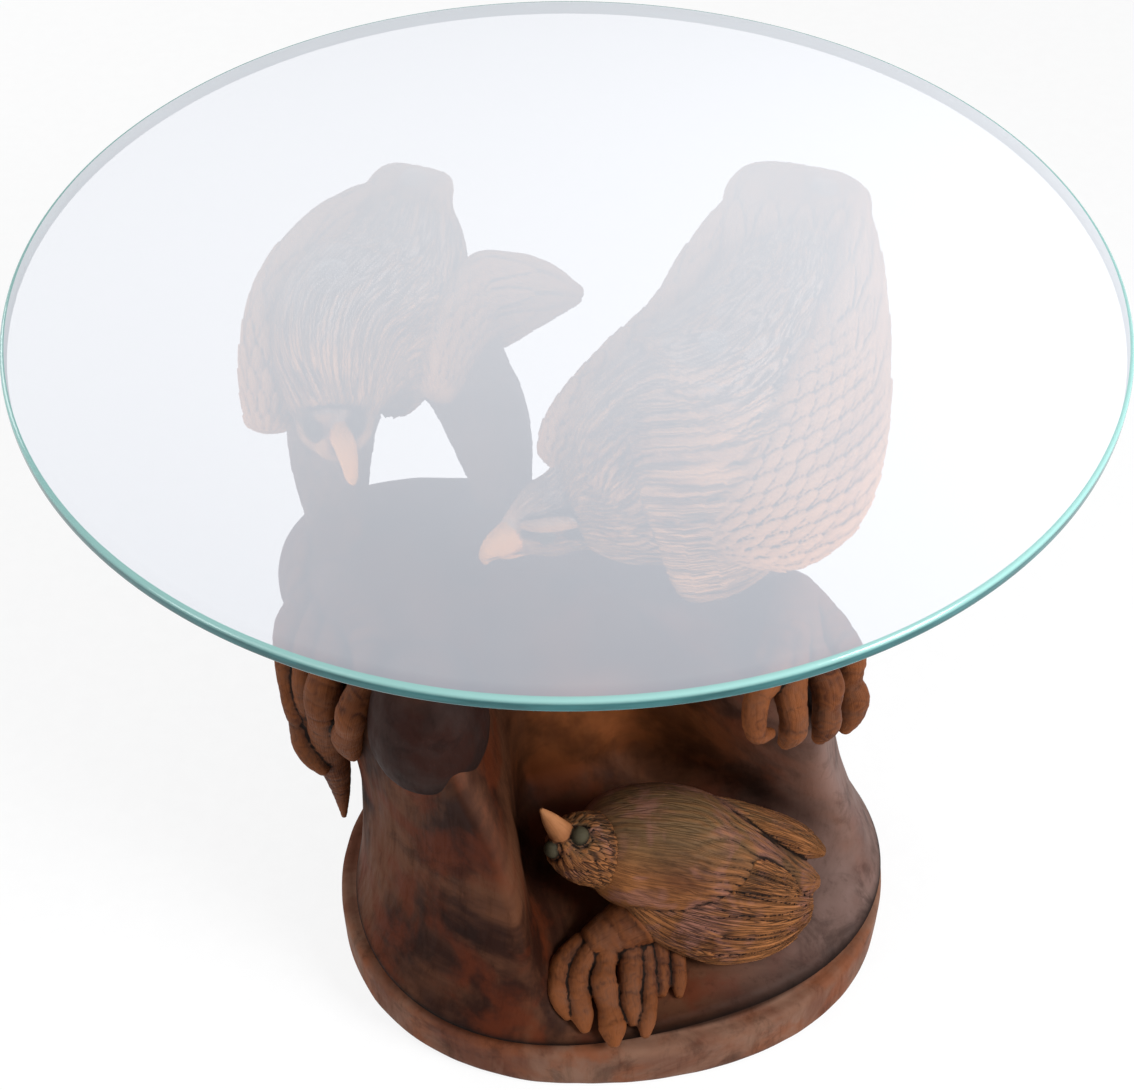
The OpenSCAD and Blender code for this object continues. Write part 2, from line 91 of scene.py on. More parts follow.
# Stump: the part's own formulas, with a from 0 to 360 and t from 0 at the plinth to 1 at the deck
def wave(a):
    return PLINTH_WAVE*(1.7*cosd(a + 81) + 1.6*cosd(2*a - 11) + 0.9*cosd(3*a + 68))


def middle(t):
    t = np.minimum(t, 1)
    return PLINTH_X - LEAN_LEFT*t, LEAN_BACK*t - PLINTH_FRONT


def girth(a, t):
    over = np.clip((t - 1 + SHOULDER)/SHOULDER, 0, 1)
    edge = np.sqrt(1 - over**2)
    flare = np.maximum(0, 1 - t)**3
    gx = DECK_RX + (STUMP_RX - DECK_RX)*edge + (PLINTH_R - FOOT_INSET - STUMP_RX)*flare
    gy = DECK_RY + (STUMP_RY - DECK_RY)*edge + (PLINTH_R - FOOT_INSET - STUMP_RY)*flare
    u = np.clip((t - 0.4)/0.45, 0, 1)
    perch = PERCH_R*bell(a, PERCH_TURN, PERCH_SPREAD)*u*u*(3 - 2*u)*(0.82 + 0.18*edge)
    foot = wave(a) - FOOT_SWAY*cosd(3*a - 186)
    return foot*flare + perch + 1/np.sqrt((cosd(a)/gx)**2 + (sind(a)/gy)**2)


def bark(a, t, off=0):
    a, t = np.broadcast_arrays(np.asarray(a, float), np.asarray(t, float))
    mx, my = middle(t)
    r = girth(a, t) + off
    return np.stack([mx + r*cosd(a), my + r*sind(a), PLINTH_H + STUMP_H*t], -1)


def right_lip(t):
    return -HOLLOW_RIGHT - 1.1*HOLLOW_NARROW*t**2


def left_lip(t):
    return HOLLOW_LEFT - HOLLOW_NARROW*t**2


def lip_to_lip(t, f):
    return right_lip(t)*(1 - f) + left_lip(t)*f


def push_in(t, f):
    """How far the front is pushed in towards the hollow's back wall, from 0 to 1."""
    return sind(90*np.minimum(1, STUMP_H*t/SLOPE_H))*ease(f/RIGHT_FOLD)*ease((1 - f)/LEFT_FOLD)


def hollow_wall(t, f):
    def front(g):
        return bark(right_lip(t)*(1 - g) + (left_lip(t) - 360)*g, t)
    mx, _ = middle(t)
    back = np.stack(np.broadcast_arrays(mx - 10, 7*t - HOLLOW_BACK, PLINTH_H + STUMP_H*t), -1)
    return front(f) + push_in(t, f)[..., None]*(back - front(0.5))


# Forms: a tube through stations [x, y, z, half width, half height], rounded at both ends. A station of four
# numbers is round.
def course(stations, steps=20):
    p = np.vstack([stations[:1], stations, stations[-1:]])
    t = (np.arange(steps)/steps)[:, None]
    spans = [0.5*(2*b + (c - a)*t + (2*a - 5*b + 4*c - d)*t*t + (3*b - a - 3*c + d)*t**3)
             for a, b, c, d in zip(p, p[1:], p[2:], p[3:])]
    return np.vstack(spans + [stations[-1:]])


def evenly(path, count):
    along = np.concatenate([[0], np.cumsum(np.linalg.norm(np.diff(path[:, :3], axis=0), axis=1))])
    at = np.linspace(0, along[-1], count)
    return np.stack([np.interp(at, along, path[:, k]) for k in range(path.shape[1])], 1), at


def unit(v):
    return v/np.maximum(np.linalg.norm(v, axis=-1, keepdims=True), 1e-9)


def spokes(p, heading, up, turns):
    """From each station to the points round it, square to its heading."""
    side = unit(np.cross(heading, np.array(up, float)))
    back = np.cross(side, heading)
    th = TAU*np.arange(turns)/turns
    return (p[:, 3, None, None]*np.cos(th)[None, :, None]*side[:, None]
            + p[:, 4, None, None]*np.sin(th)[None, :, None]*back[:, None])


class Form:
    """One tube: its rings, the length along it and the share of the way round."""

    def __init__(self, stations, origin=(0, 0, 0), up=(0, 0, 1), rings=60, around=48, dome=0.45):
        stations = np.array([[*s, s[3]][:5] for s in stations], float) + [*origin, 0, 0]
        p, along = evenly(course(stations), rings)
        heading = unit(np.gradient(p[:, :3], axis=0))
        spoke = spokes(p, heading, up, around)
        centre = p[:, None, :3]
        first, last = [], []
        for ends, i, way in ((first, 0, -1), (last, -1, 1)):
            depth = dome*min(p[i, 3], p[i, 4])
            for b in np.radians([20, 40, 58, 74, 86]):
                cap = centre[i] + spoke[i]*math.cos(b) + way*depth*math.sin(b)*heading[i]
                ends.append((cap, along[i] + way*depth*math.sin(b)))
        first.reverse()
        self.grid = np.concatenate([[c for c, _ in first], centre + spoke, [c for c, _ in last]])
        self.along = np.concatenate([[a for _, a in first], along, [a for _, a in last]])
        closed = np.concatenate([self.grid, self.grid[:, :1]], 1)
        chord = np.linalg.norm(np.diff(closed, axis=1), axis=2)
        way_round = np.concatenate([np.zeros((len(chord), 1)), np.cumsum(chord, 1)], 1)
        self.share = way_round/way_round[:, -1:]
        self.length = along[-1]
        # the part's own solid is a hull round each two of these rings that follow one another
        p = course(stations, 2)
        heading = np.array([unit(p[min(i + 1, len(p) - 1), :3] - p[max(i - 1, 0), :3])
                            for i in range(len(p))])
        self.hull_rings = p[:, None, :3] + spokes(p, heading, up, HULL_TURNS)


def grip(stations):
    """Stations [angle, t, distance off the bark, radius] on the stump, as points with one radius."""
    k = TOE_R/10
    return [[*bark(a, t, off), k*r] for a, t, off, r in stations]


ON_DECK = np.array([*middle(1), DECK_Z])
IN_HOLLOW = np.array([PLINTH_X, 18 - HOLLOW_BACK, PLINTH_H])


def deck_form(stations, **how):
    return Form(stations, ON_DECK, **how)


def hollow_form(stations, **how):
    return Form(stations, IN_HOLLOW, **how)


def ball(at, r):
    rows = [(c, max(0.4, r*math.sqrt(1 - c*c))) for c in (0.98, 0.8, 0.4, 0, -0.4, -0.8, -0.98)]
    return Form([[at[0] - r*c, at[1], at[2], w] for c, w in rows], rings=14, around=18, dome=0.2)


# Carved relief, in millimetres, from the length along a form and the share of the way round
def streaks(a, f, count, depth, run=70, seed=0):
    """Long grooves that wander, join and part."""
    th = TAU*f
    drift = 0.6*np.sin(TAU*a/run + 2*np.sin(th + seed)) + 0.35*np.sin(TAU*a/(0.37*run) + 3*np.cos(th))
    many = np.abs(np.sin(math.pi*(count*f + drift)))
    few = np.abs(np.sin(math.pi*(round(0.62*count)*f - 0.8*drift + 0.3)))
    share = 0.5 + 0.5*np.sin(TAU*a/(1.3*run) + 4*np.sin(2*th + seed))
    return depth*(share*many**0.7 + (1 - share)*few**0.6 - 0.65)


def feathers(a, f, row, count, lift, seed=0):
    """Rows of overlapping round-ended feathers: the height, and a tone of its own for each feather."""
    u, v = a/row, count*f
    height, tone = np.zeros_like(u), np.zeros_like(u)
    open_yet = np.ones(u.shape, bool)
    for back in (2, 1, 0):
        i = np.floor(u) - back
        off = 0.5*np.mod(i, 2)
        j = np.floor(v - off)
        x = 2*(v - off - j) - 1
        t = (u - i)/2.3
        half = np.sqrt(np.clip(1 - np.clip((t - 0.3)/0.7, 0, 1)**2.4, 0, 1))
        take = open_yet & (np.abs(x) <= half) & (t < 1)
        own = np.mod(np.sin(i*12.9898 + np.mod(j, count)*78.233 + seed)*43758.5453, 1)
        rib = 0.22*bell(x, 0, 0.1)*np.clip(1.2 - t, 0, 1)
        barb = 0.10*np.sin(TAU*(2.2*np.abs(x) + 3.0*t))
        edge = np.clip((half - np.abs(x))/0.16, 0, 1)
        h = lift*((0.35 + 0.85*t)*edge**0.5 - 0.3*x*x + rib + barb + 0.25*(own - 0.5) - 0.35)
        height[take], tone[take] = h[take], own[take]
        open_yet &= ~take
    return height, tone


def distance_to(points, line):
    """Distance of each point to a line of points."""
    line = np.array(line, float)
    best = np.full(len(points), 1e9)
    for p, q in zip(line, line[1:]):
        d = q - p
        t = np.clip(((points - p) @ d)/(d @ d), 0, 1)
        best = np.minimum(best, np.linalg.norm(points - p - t[:, None]*d, axis=1))
    return best


def rough(points, size, seed):
    """Smooth noise from -1 to 1 at the given size in millimetres."""
    return np.array([noise.noise(Vector(p)/size + Vector((seed, 3*seed, 7*seed))) for p in points])


# Meshes, from points in millimetres, the corners of all faces in a row and the size of each face
def starts(sizes):
    return np.cumsum(sizes) - sizes


def mesh_from(name, points, corners, sizes):
    mesh = bpy.data.meshes.new(name)
    mesh.vertices.add(len(points))
    mesh.vertices.foreach_set("co", (points*MM).astype(np.float32).ravel())
    mesh.loops.add(len(corners))
    mesh.loops.foreach_set("vertex_index", corners.astype(np.int32))
    mesh.polygons.add(len(sizes))
    mesh.polygons.foreach_set("loop_start", starts(sizes).astype(np.int32))
    mesh.update(calc_edges=True)
    mesh.validate()
    return mesh


def wrapped(rings, around):
    """Quads between rings of points, each ring closed on itself."""
    i, j = np.meshgrid(np.arange(rings - 1), np.arange(around), indexing="ij")
    k = (j + 1) % around
    return np.stack([i*around + j, (i + 1)*around + j, (i + 1)*around + k, i*around + k], -1).reshape(-1, 4)


def tube_faces(rings, around):
    """Corners and sizes of a closed tube's quads and of the triangles at its two poles."""
    quads = wrapped(rings, around)
    j = np.arange(around)
    k = (j + 1) % around
    start = np.stack([np.full(around, rings*around), j, k], 1)
    end = np.stack([np.full(around, rings*around + 1), (rings - 1)*around + k, (rings - 1)*around + j], 1)
    corners = np.concatenate([quads.ravel(), start.ravel(), end.ravel()])
    return corners, np.repeat([4, 3], [len(quads), 2*around])


def hull(points):
    shell = bmesh.new()
    for at in points:
        shell.verts.new(at)
    made = bmesh.ops.convex_hull(shell, input=shell.verts[:])
    spare = {v for v in made["geom_interior"] + made["geom_unused"] if isinstance(v, bmesh.types.BMVert)}
    bmesh.ops.delete(shell, geom=list(spare), context="VERTS")
    shell.verts.index_update()
    block = (np.array([v.co for v in shell.verts]),
             np.array([v.index for face in shell.faces for v in face.verts]),
             np.array([len(face.verts) for face in shell.faces]))
    shell.free()
    return block


def joined(forms):
    """All forms, as hulls and as tubes, in one array of points with one row of faces."""
    blocks = []
    for form in forms:
        blocks += [hull(np.vstack(pair)) for pair in zip(form.hull_rings, form.hull_rings[1:])]
        poles = [form.grid[0].mean(0), form.grid[-1].mean(0)]
        blocks.append((np.vstack([form.grid.reshape(-1, 3), poles]), *tube_faces(*form.grid.shape[:2])))
    points, corners, sizes = zip(*blocks)
    base = starts([len(p) for p in points])
    return np.vstack(points), np.concatenate([c + b for c, b in zip(corners, base)]), np.concatenate(sizes)


class Lookup:
    """Finds, for a point, the nearest form, the length along it and the share of the way round."""

    def __init__(self, forms):
        self.forms = forms
        grids = [form.grid.reshape(-1, 3) for form in forms]
        quads = [wrapped(*form.grid.shape[:2]) for form in forms]
        self.first = starts([len(q) for q in quads])
        self.points = np.vstack(grids)
        faces = np.vstack([q + base for q, base in zip(quads, starts([len(g) for g in grids]))])
        self.tree = BVHTree.FromPolygons(self.points.tolist(), faces.tolist())

    def near(self, points):
        hits = [self.tree.find_nearest(p) for p in points.tolist()]
        face = np.array([h[2] for h in hits])
        at = np.array([h[0][:] for h in hits])
        which = np.searchsorted(self.first, face, side="right") - 1
        along, share = np.zeros(len(points)), np.zeros(len(points))
        for n, form in enumerate(self.forms):
            mine = which == n
            if not mine.any():
                continue
            around = form.grid.shape[1]
            i, j = np.divmod(face[mine] - self.first[n], around)
            p, q, r = form.grid[i, j], form.grid[i + 1, j], form.grid[i, (j + 1) % around]
            d = at[mine] - p
            x, y = (np.clip((d*step).sum(1)/np.maximum((step**2).sum(1), 1e-9), 0, 1)
                    for step in (q - p, r - p))
            along[mine] = form.along[i] + x*(form.along[i + 1] - form.along[i])
            share[mine] = form.share[i, j] + y*(form.share[i, j + 1] - form.share[i, j])
        return which, along, share

    def gap(self, points, reach):
        """Distance of each point to the forms, no farther than reach."""
        out = np.full(len(points), float(reach))
        low, high = self.points.min(0) - reach, self.points.max(0) + reach
        for n in np.nonzero(((points > low) & (points < high)).all(1))[0].tolist():
            hit = self.tree.find_nearest(points[n], reach)
            if hit[3] is not None:
                out[n] = hit[3]
        return out


def read(items, key, wide=1, kind=np.float32):
    """One property of all the items, with a row for each item."""
    out = np.zeros(len(items)*wide, kind)
    items.foreach_get(key, out)
    return out.reshape(-1, wide) if wide > 1 else out


def normals_of(mesh):
    return read(mesh.vertex_normals, "vector", 3).astype(float)


def points_of(mesh):
    return read(mesh.vertices, "co", 3).astype(float)/MM


def place(mesh, points):
    mesh.vertices.foreach_set("co", (points*MM).astype(np.float32).ravel())
    mesh.update()


def one_skin(name, forms, voxel, soften):
    """The forms grown together into one closed skin with soft creases."""
    raw = bpy.data.objects.new(name + "_raw", mesh_from(name + "_raw", *joined(forms)))
    bpy.context.collection.objects.link(raw)
    grow = raw.modifiers.new("grow", "REMESH")
    grow.mode, grow.voxel_size, grow.adaptivity = "VOXEL", voxel*COARSE*MM, 0
    calm = raw.modifiers.new("calm", "SMOOTH")
    calm.factor, calm.iterations = 0.5, soften
    mesh = bpy.data.meshes.new_from_object(raw.evaluated_get(bpy.context.evaluated_depsgraph_get()))
    mesh.name = name
    old = raw.data
    bpy.data.objects.remove(raw)
    bpy.data.meshes.remove(old)
    return mesh


def sunken(mesh, points, outward, rounds):
    """Depth of each point below the smoothed skin in millimetres: above 0 in crevices, below 0 on ridges."""
    a, b = read(mesh.edges, "vertices", 2, np.int32).T
    n = len(points)
    count = np.maximum(np.bincount(a, minlength=n) + np.bincount(b, minlength=n), 1)
    smooth = points.copy()
    for _ in range(rounds):
        smooth = np.stack([np.bincount(a, smooth[b, k], n) + np.bincount(b, smooth[a, k], n)
                           for k in range(3)], 1)/count[:, None]
    return ((smooth - points)*outward).sum(1)


def keep(mesh, **values):
    """Numbers or vectors kept for the mesh's points, for the finishes to read."""
    for name, value in values.items():
        kind, key = ("FLOAT", "value") if value.ndim == 1 else ("FLOAT_VECTOR", "vector")
        mesh.attributes.new(name, kind, "POINT").data.foreach_set(key, value.astype(np.float32).ravel())


def settle(name, mesh, body, slot, *finishes):
    """The finished mesh as a piece that rides on its body in place of the CAD node of its name."""
    mesh.polygons.foreach_set("use_smooth", np.ones(len(mesh.polygons), bool))
    piece = bpy.data.objects.new(name + "_look", mesh)
    bpy.context.collection.objects.link(piece)
    for finish in finishes:
        mesh.materials.append(finish.owner)
    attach(piece, body)
    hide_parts(name)


def carve(name, forms, reliefs, finish, voxel=1.4, soften=6, lines=(), dents=(), beside=(), strand=1.0,
          creases=9.0, hairy=(), special=(), fill=None):
    """A carved piece: one skin, relief by form, local grooves and dents, soft creases to its neighbours.

    lines and dents hold (line or point, width, depth), and beside the neighbouring forms. hairy gives the
    strength of the hair-like cuts on the first forms, and special a finish for some form numbers. fill is the
    stretch of the first form over which a deep fold is filled up. Lengths are in millimetres.
    """
    mesh = one_skin(name, forms, voxel, soften)
    points, outward = points_of(mesh), normals_of(mesh)
    which, along, share = Lookup(forms).near(points)
    if fill:
        start, end = fill
        here = (which == 0)*fade(along, start, start + FILL_RUN)*(1 - fade(along, end, end + FILL_RUN))
        depth = np.clip(sunken(mesh, points, outward, FILL_ROUNDS), 0, FILL_MOST)
        points += outward*(here*depth)[:, None]
        place(mesh, points)
        outward = normals_of(mesh)
    height, tone = np.zeros(len(points)), np.full(len(points), 0.5)
    for n, relief in enumerate(reliefs):
        mine = which == n
        height[mine], tone[mine] = relief(along[mine], share[mine], forms[n].length)
    for line, width, depth in lines:
        height += depth*bell(distance_to(points, line), 0, width)
    for at, width, depth in dents:
        height += depth*bell(np.linalg.norm(points - at, axis=1), 0, width)
    crease = np.zeros(len(points))
    if beside:
        crease = 1 - Lookup(beside).gap(points, creases)/creases
    points += outward*(height + creases*crease**2/4)[:, None]
    points[:, 2] = np.minimum(points[:, 2], SEAT_Z)
    place(mesh, points)
    hair = np.zeros(len(points))
    for n, strength in enumerate(hairy):
        hair[which == n] = strength*fade(along[which == n], 2, 14)
    th = TAU*share
    # sunken and crease feed painted shade in crevices and beside neighbours, sky a painted top light where
    # the skin faces up
    keep(mesh, sunken=sunken(mesh, points, normals_of(mesh), CREVICE_ROUNDS), relief=height, tint=tone,
         crease=crease, sky=np.clip(outward[:, 2], 0, 1), hair=hair,
         strand=np.stack([strand*np.cos(th), strand*np.sin(th), along/300 + 3*which], 1))
    settle(name, mesh, "base", "carved_wood", finish, *[wood for _, wood in special])
    corner = read(mesh.loops, "vertex_index", kind=np.int32)
    mine = which[corner[read(mesh.polygons, "loop_start", kind=np.int32)]]
    slots = np.zeros(len(mine), np.int32)
    for k, (numbers, _) in enumerate(special):
        slots[np.isin(mine, numbers)] = k + 1
    mesh.polygons.foreach_set("material_index", slots)


# Finishes
def colour(code):
    """A colour written as rrggbb, as Blender's linear red, green, blue and alpha."""
    parts = [int(code[k:k + 2], 16)/255 for k in (0, 2, 4)]
    return [c/12.92 if c <= 0.04045 else ((c + 0.055)/1.055)**2.4 for c in parts] + [1.0]


class Value:
    """A shader socket that Python's operators work on."""

    def __init__(self, finish, socket):
        self.finish, self.socket = finish, socket

    def math(self, operation, *values):
        return self.finish.node("Math", *values, settings={"operation": operation})

    def __add__(self, other):
        return self.math("ADD", self, other)

    __radd__ = __add__

    def __sub__(self, other):
        return self.math("SUBTRACT", self, other)

    def __rsub__(self, other):
        return self.math("SUBTRACT", other, self)

    def __mul__(self, other):
        return self.math("MULTIPLY", self, other)

    __rmul__ = __mul__

    def span(self, low, high, to_low=0.0, to_high=1.0):
        return self.finish.node("MapRange", self, low, high, to_low, to_high,
                                settings={"interpolation_type": "SMOOTHSTEP"})

    def line(self, level, width):
        """1 where the value passes the level, down to 0 at the given width from it."""
        return self.math("ABSOLUTE", self - level).span(0.0, width, 1.0, 0.0)

    def most(self, other):
        return self.math("MAXIMUM", self, other)


class Finish:
    """The nodes of a material, or of the world."""

    def __init__(self, name, kind="materials"):
        self.owner = getattr(bpy.data, kind).new(name)
        self.owner.use_nodes = True
        self.tree = self.owner.node_tree
        self.tree.nodes.clear()

    def node(self, kind, *values, out=0, settings=None, **named):
        """A new node: its settings, then its sockets by number or by name. Gives one of its outputs."""
        made = self.tree.nodes.new("ShaderNode" + kind)
        for key, value in (settings or {}).items():
            setattr(made, key, value)
        wanted = list(enumerate(values)) + [(k.replace("_", " "), v) for k, v in named.items()]
        for key, value in wanted:
            if value is None:
                continue
            socket = made.inputs[key]
            if isinstance(value, Value):
                self.tree.links.new(value.socket, socket)
            else:
                socket.default_value = value
        return Value(self, made.outputs[out]) if made.outputs else None

    def mix(self, share, a, b):
        return self.node("Mix", share, None, None, None, None, None, a, b, out=2,
                         settings={"data_type": "RGBA"})

    def painted(self, wood, *layers):
        """The colour with each layer (share, colour code) laid over it in turn."""
        for share, code in layers:
            wood = self.mix(share, wood, colour(code))
        return wood

    def noise(self, where, scale, detail=3.0, rough_by=0.55, warp=0.0):
        return self.node("TexNoise", Vector=where, Scale=scale, Detail=detail, Roughness=rough_by,
                         Distortion=warp)

    def own(self, name, out=2):
        return self.node("Attribute", out=out, settings={"attribute_name": name})

    def here(self):
        return self.node("TexCoord", out=3)

    def stretched(self, where, scale):
        return self.node("Mapping", where, Scale=scale)

    def bump(self, height, strength, distance):
        return self.node("Bump", Strength=strength, Distance=distance, Height=height)

    def surface(self, **sockets):
        self.finish_with(self.node("BsdfPrincipled", **sockets))

    def finish_with(self, shader, output="OutputMaterial"):
        self.node(output, shader)


def carved_wood(name, deep, base, raised, painted_highlight, top_light_share=0.5, grain=26.0, dull=0.12, blush=None):
    """Stained carved wood with painted shade in its grooves, crevices, cuts and creases, paler ridges from
    wear, and painted top light where it faces up.
    """
    f = Finish(name)
    here = f.here()
    strand = f.own("strand", out=1)
    relief, tint, sky, crease = f.own("relief"), f.own("tint"), f.own("sky"), f.own("crease")
    low = f.own("sunken")
    patches = f.noise(here, 14.0, 4.0, 0.6, 0.4)
    blotches = f.noise(here, 55.0, 3.0, 0.6)
    fibres = f.noise(strand, grain, 4.0, 0.65)
    flow = f.noise(strand, 5.5, 1.0, 0.35, 0.3)
    cuts = flow.line(0.5, 0.06).most(flow.line(0.37, 0.05)).most(flow.line(0.63, 0.05))*f.own("hair")
    # painted top light: a paler, greyer tone where the skin faces up
    painted_top_light = sky.span(0.35, 0.95)*top_light_share*patches.span(0.25, 0.6, 0.5, 1.0)
    wood = f.painted(colour(base), (patches.span(0.35, 0.68), raised), (painted_top_light, painted_highlight))
    if blush:
        wood = f.painted(wood, (f.noise(here, 31.0, 3.0, 0.6, 0.5).span(0.47, 0.62)*0.65, blush))
    # painted shade: darker in grooves, crevices, hair-like cuts and beside neighbouring forms; blotches,
    # fibres and each feather's tint are the wood's own colour, and raised parts are paler from wear
    wood = f.painted(wood, (blotches.span(0.5, 0.75)*0.35, deep), (fibres.span(0.52, 0.72)*0.4, deep),
                     (tint.span(0.5, 1.0)*0.35, raised), (relief.span(0.25, 1.3)*0.5, raised),
                     (relief.span(-0.05, -0.9)*0.9, deep), (crease.span(0.3, 1.0)*0.6, deep),
                     (low.span(-0.08, -0.55)*0.6, raised), (low.span(0.05, 0.6)*0.95, deep),
                     (cuts*0.95, deep))
    height = 0.45*fibres + 0.2*blotches + 0.1*f.noise(here, 420.0, 2.0) - 0.9*cuts
    f.surface(Base_Color=wood, Roughness=fibres.span(0.3, 0.7, 0.55, 0.72), Specular_IOR_Level=dull,
              Normal=f.bump(height, 0.7, 0.0016))
    return f


# tones painted as light: on pale folds and tops, and a warm, lighter patch on the hollow's back wall
PAINTED_LIGHT_TONE, WARM_LIGHT_TONE = "7d5440", "b56a3c"


def smooth_wood(name, deep, base, pale, warm, dull=0.07, lit_side_tone=None):
    """Sanded, stained wood of the stump: mottled, with upright grain and dark stains; painted shade in
    hollows and grooves, painted light on folds, tops, the right side and a warm patch in the hollow.
    """
    f = Finish(name)
    here = f.here()
    # painted shade, painted light on folds and tops, and a warm patch lightened as painted light
    cavity, worn, warmth = f.own("cavity"), f.own("worn"), f.own("warmth")
    upright = f.stretched(here, (1.0, 1.0, 0.16))
    patches = f.noise(here, 9.0, 5.0, 0.62, 0.5)
    warm_patches = f.noise(here, 17.0, 4.0, 0.6, 0.3)
    grain = f.noise(upright, 120.0, 4.0, 0.7, 0.2)
    specks = f.noise(here, 300.0, 2.0)
    stains = f.noise(here, 26.0, 5.0, 0.68, 0.6)
    wood = f.painted(colour(base), (patches.span(0.38, 0.6), pale),
                     (warm_patches.span(0.45, 0.62)*0.7, warm))
    # painted light: a paler, greyer tone on the right side, where the light falls
    if lit_side_tone:
        to_right = f.node("SeparateXYZ", here, out=0)
        wood = f.painted(wood, (to_right.span(0.08, 0.22)*patches.span(0.3, 0.62, 0.3, 0.9), lit_side_tone))
    wood = f.painted(wood, (stains.span(0.5, 0.68)*0.42, deep), (grain.span(0.5, 0.8)*0.35, deep),
                     (worn*warm_patches.span(0.3, 0.6, 0.08, 0.3), PAINTED_LIGHT_TONE),
                     (warmth*warm_patches.span(0.35, 0.65, 0.3, 0.9), WARM_LIGHT_TONE), (cavity*0.92, deep))
    height = 0.5*grain + 0.2*specks
    f.surface(Base_Color=wood, Roughness=grain.span(0.3, 0.7, 0.55, 0.72), Specular_IOR_Level=dull,
              Normal=f.bump(height, 0.4, 0.0008))
    return f


# deep, base, raised and painted top-light colour of each carved wood, and the share of that painted top light
# where it faces up
right_wood = carved_wood("right_eagle_wood", "0a0300", "683c26", "bd8658", "c3b7ad", 0.75)
rear_wood = carved_wood("rear_eagle_wood", "0a0300", "683c26", "bd8658", "c9beb6", 0.85)
leg_wood = carved_wood("leg_wood", "0e0401", "3c2519", "60402d", "6e5f56", 0.4)
wing_wood = carved_wood("wing_wood", "0a0300", "64361c", "b47f56", "9f8c7f", 0.5)
toe_wood = carved_wood("toe_wood", "0a0300", "34160a", "6d3c1c", "503320", 0.2, grain=14.0, blush="5a3826")
nestling_wood = carved_wood("nestling_wood", "100602", "512d18", "8b5831", "504530", 0.75, blush="7d544a")
beak_wood = carved_wood("beak_wood", "2a1206", "a65c26", "d8924e", "c89458", 0.4, grain=10.0, dull=0.3)
small_beak_wood = carved_wood("small_beak_wood", "1c0c04", "7a4a2a", "a8724a", "8a6446", 0.2, grain=10.0)
eye_wood = carved_wood("eye_wood", "0a0502", "2a2318", "454030", "4c483a", 0.4, grain=8.0, dull=0.1)
# deep, base, pale and warm colour of each smooth wood, and a paler tone painted on its right side as painted
# light
stump_wood = smooth_wood("stump_wood", "0a0200", "240f07", "50301f", "4e200c", lit_side_tone="6c5852")
plinth_wood = smooth_wood("plinth_wood", "160904", "553021", "705242", "6c3b22")
boulder_wood = smooth_wood("boulder_wood", "080201", "180c09", "2b1c18", "250d06", lit_side_tone="44362f")


# Table base: plinth, stump and boulder
def turned(rows, centre, turns):
    """A closed turned block from rows (radius, or radii at the turns, and z), with a pole at each end."""
    radii = np.array([q + 0*turns for q, _ in rows[::-1]])
    z = np.array([z for _, z in rows[::-1]])[:, None] + 0*radii
    grid = np.stack([centre[0] + radii*cosd(turns), centre[1] + radii*sind(turns), z], -1)
    points = np.vstack([grid.reshape(-1, 3), [[*centre, rows[-1][1]], [*centre, rows[0][1]]]])
    return points, *tube_faces(*grid.shape[:2])


def plinth_piece():
    turns = np.arange(0, 360, 360/int(PLINTH_TURNS/COARSE))
    rim = PLINTH_H - GROOVE_H
    # inset from the rim's line, and height
    profile = [(5.0, 0.0), (1.6, 1.4), (0.2, 5.0)]
    profile += [(0.0, z) for z in np.linspace(9, rim - 9, 8)]
    profile += [(0.4, rim - 5.0), (1.9, rim - 1.9), (5.0, rim - 0.4), (9.0, rim), (GROOVE_DEPTH - 1.5, rim)]
    profile += [(GROOVE_DEPTH, rim + 1.5), (GROOVE_DEPTH, PLINTH_H - 0.5), (GROOVE_DEPTH + 3, PLINTH_H)]
    r = PLINTH_R + wave(turns)
    block = turned([(r - inset, z) for inset, z in profile], (PLINTH_X, -PLINTH_FRONT), turns)
    mesh = mesh_from("plinth", *block)
    points, out = block[0], normals_of(mesh)
    bumpy = 0.8*rough(points, 55, 1) + 0.35*rough(points, 17, 2)
    band = (points[:, 2] > 1)*(points[:, 2] < PLINTH_H - 0.2)
    points = points + out*(bumpy*band - 0.9)[:, None]*band[:, None]
    place(mesh, points)
    # painted shade on the groove's ledge above the rim
    keep(mesh, cavity=np.clip((points[:, 2] - rim + 0.5)/2, 0, 1))
    settle("plinth", mesh, "base", "smooth_wood", plinth_wood)


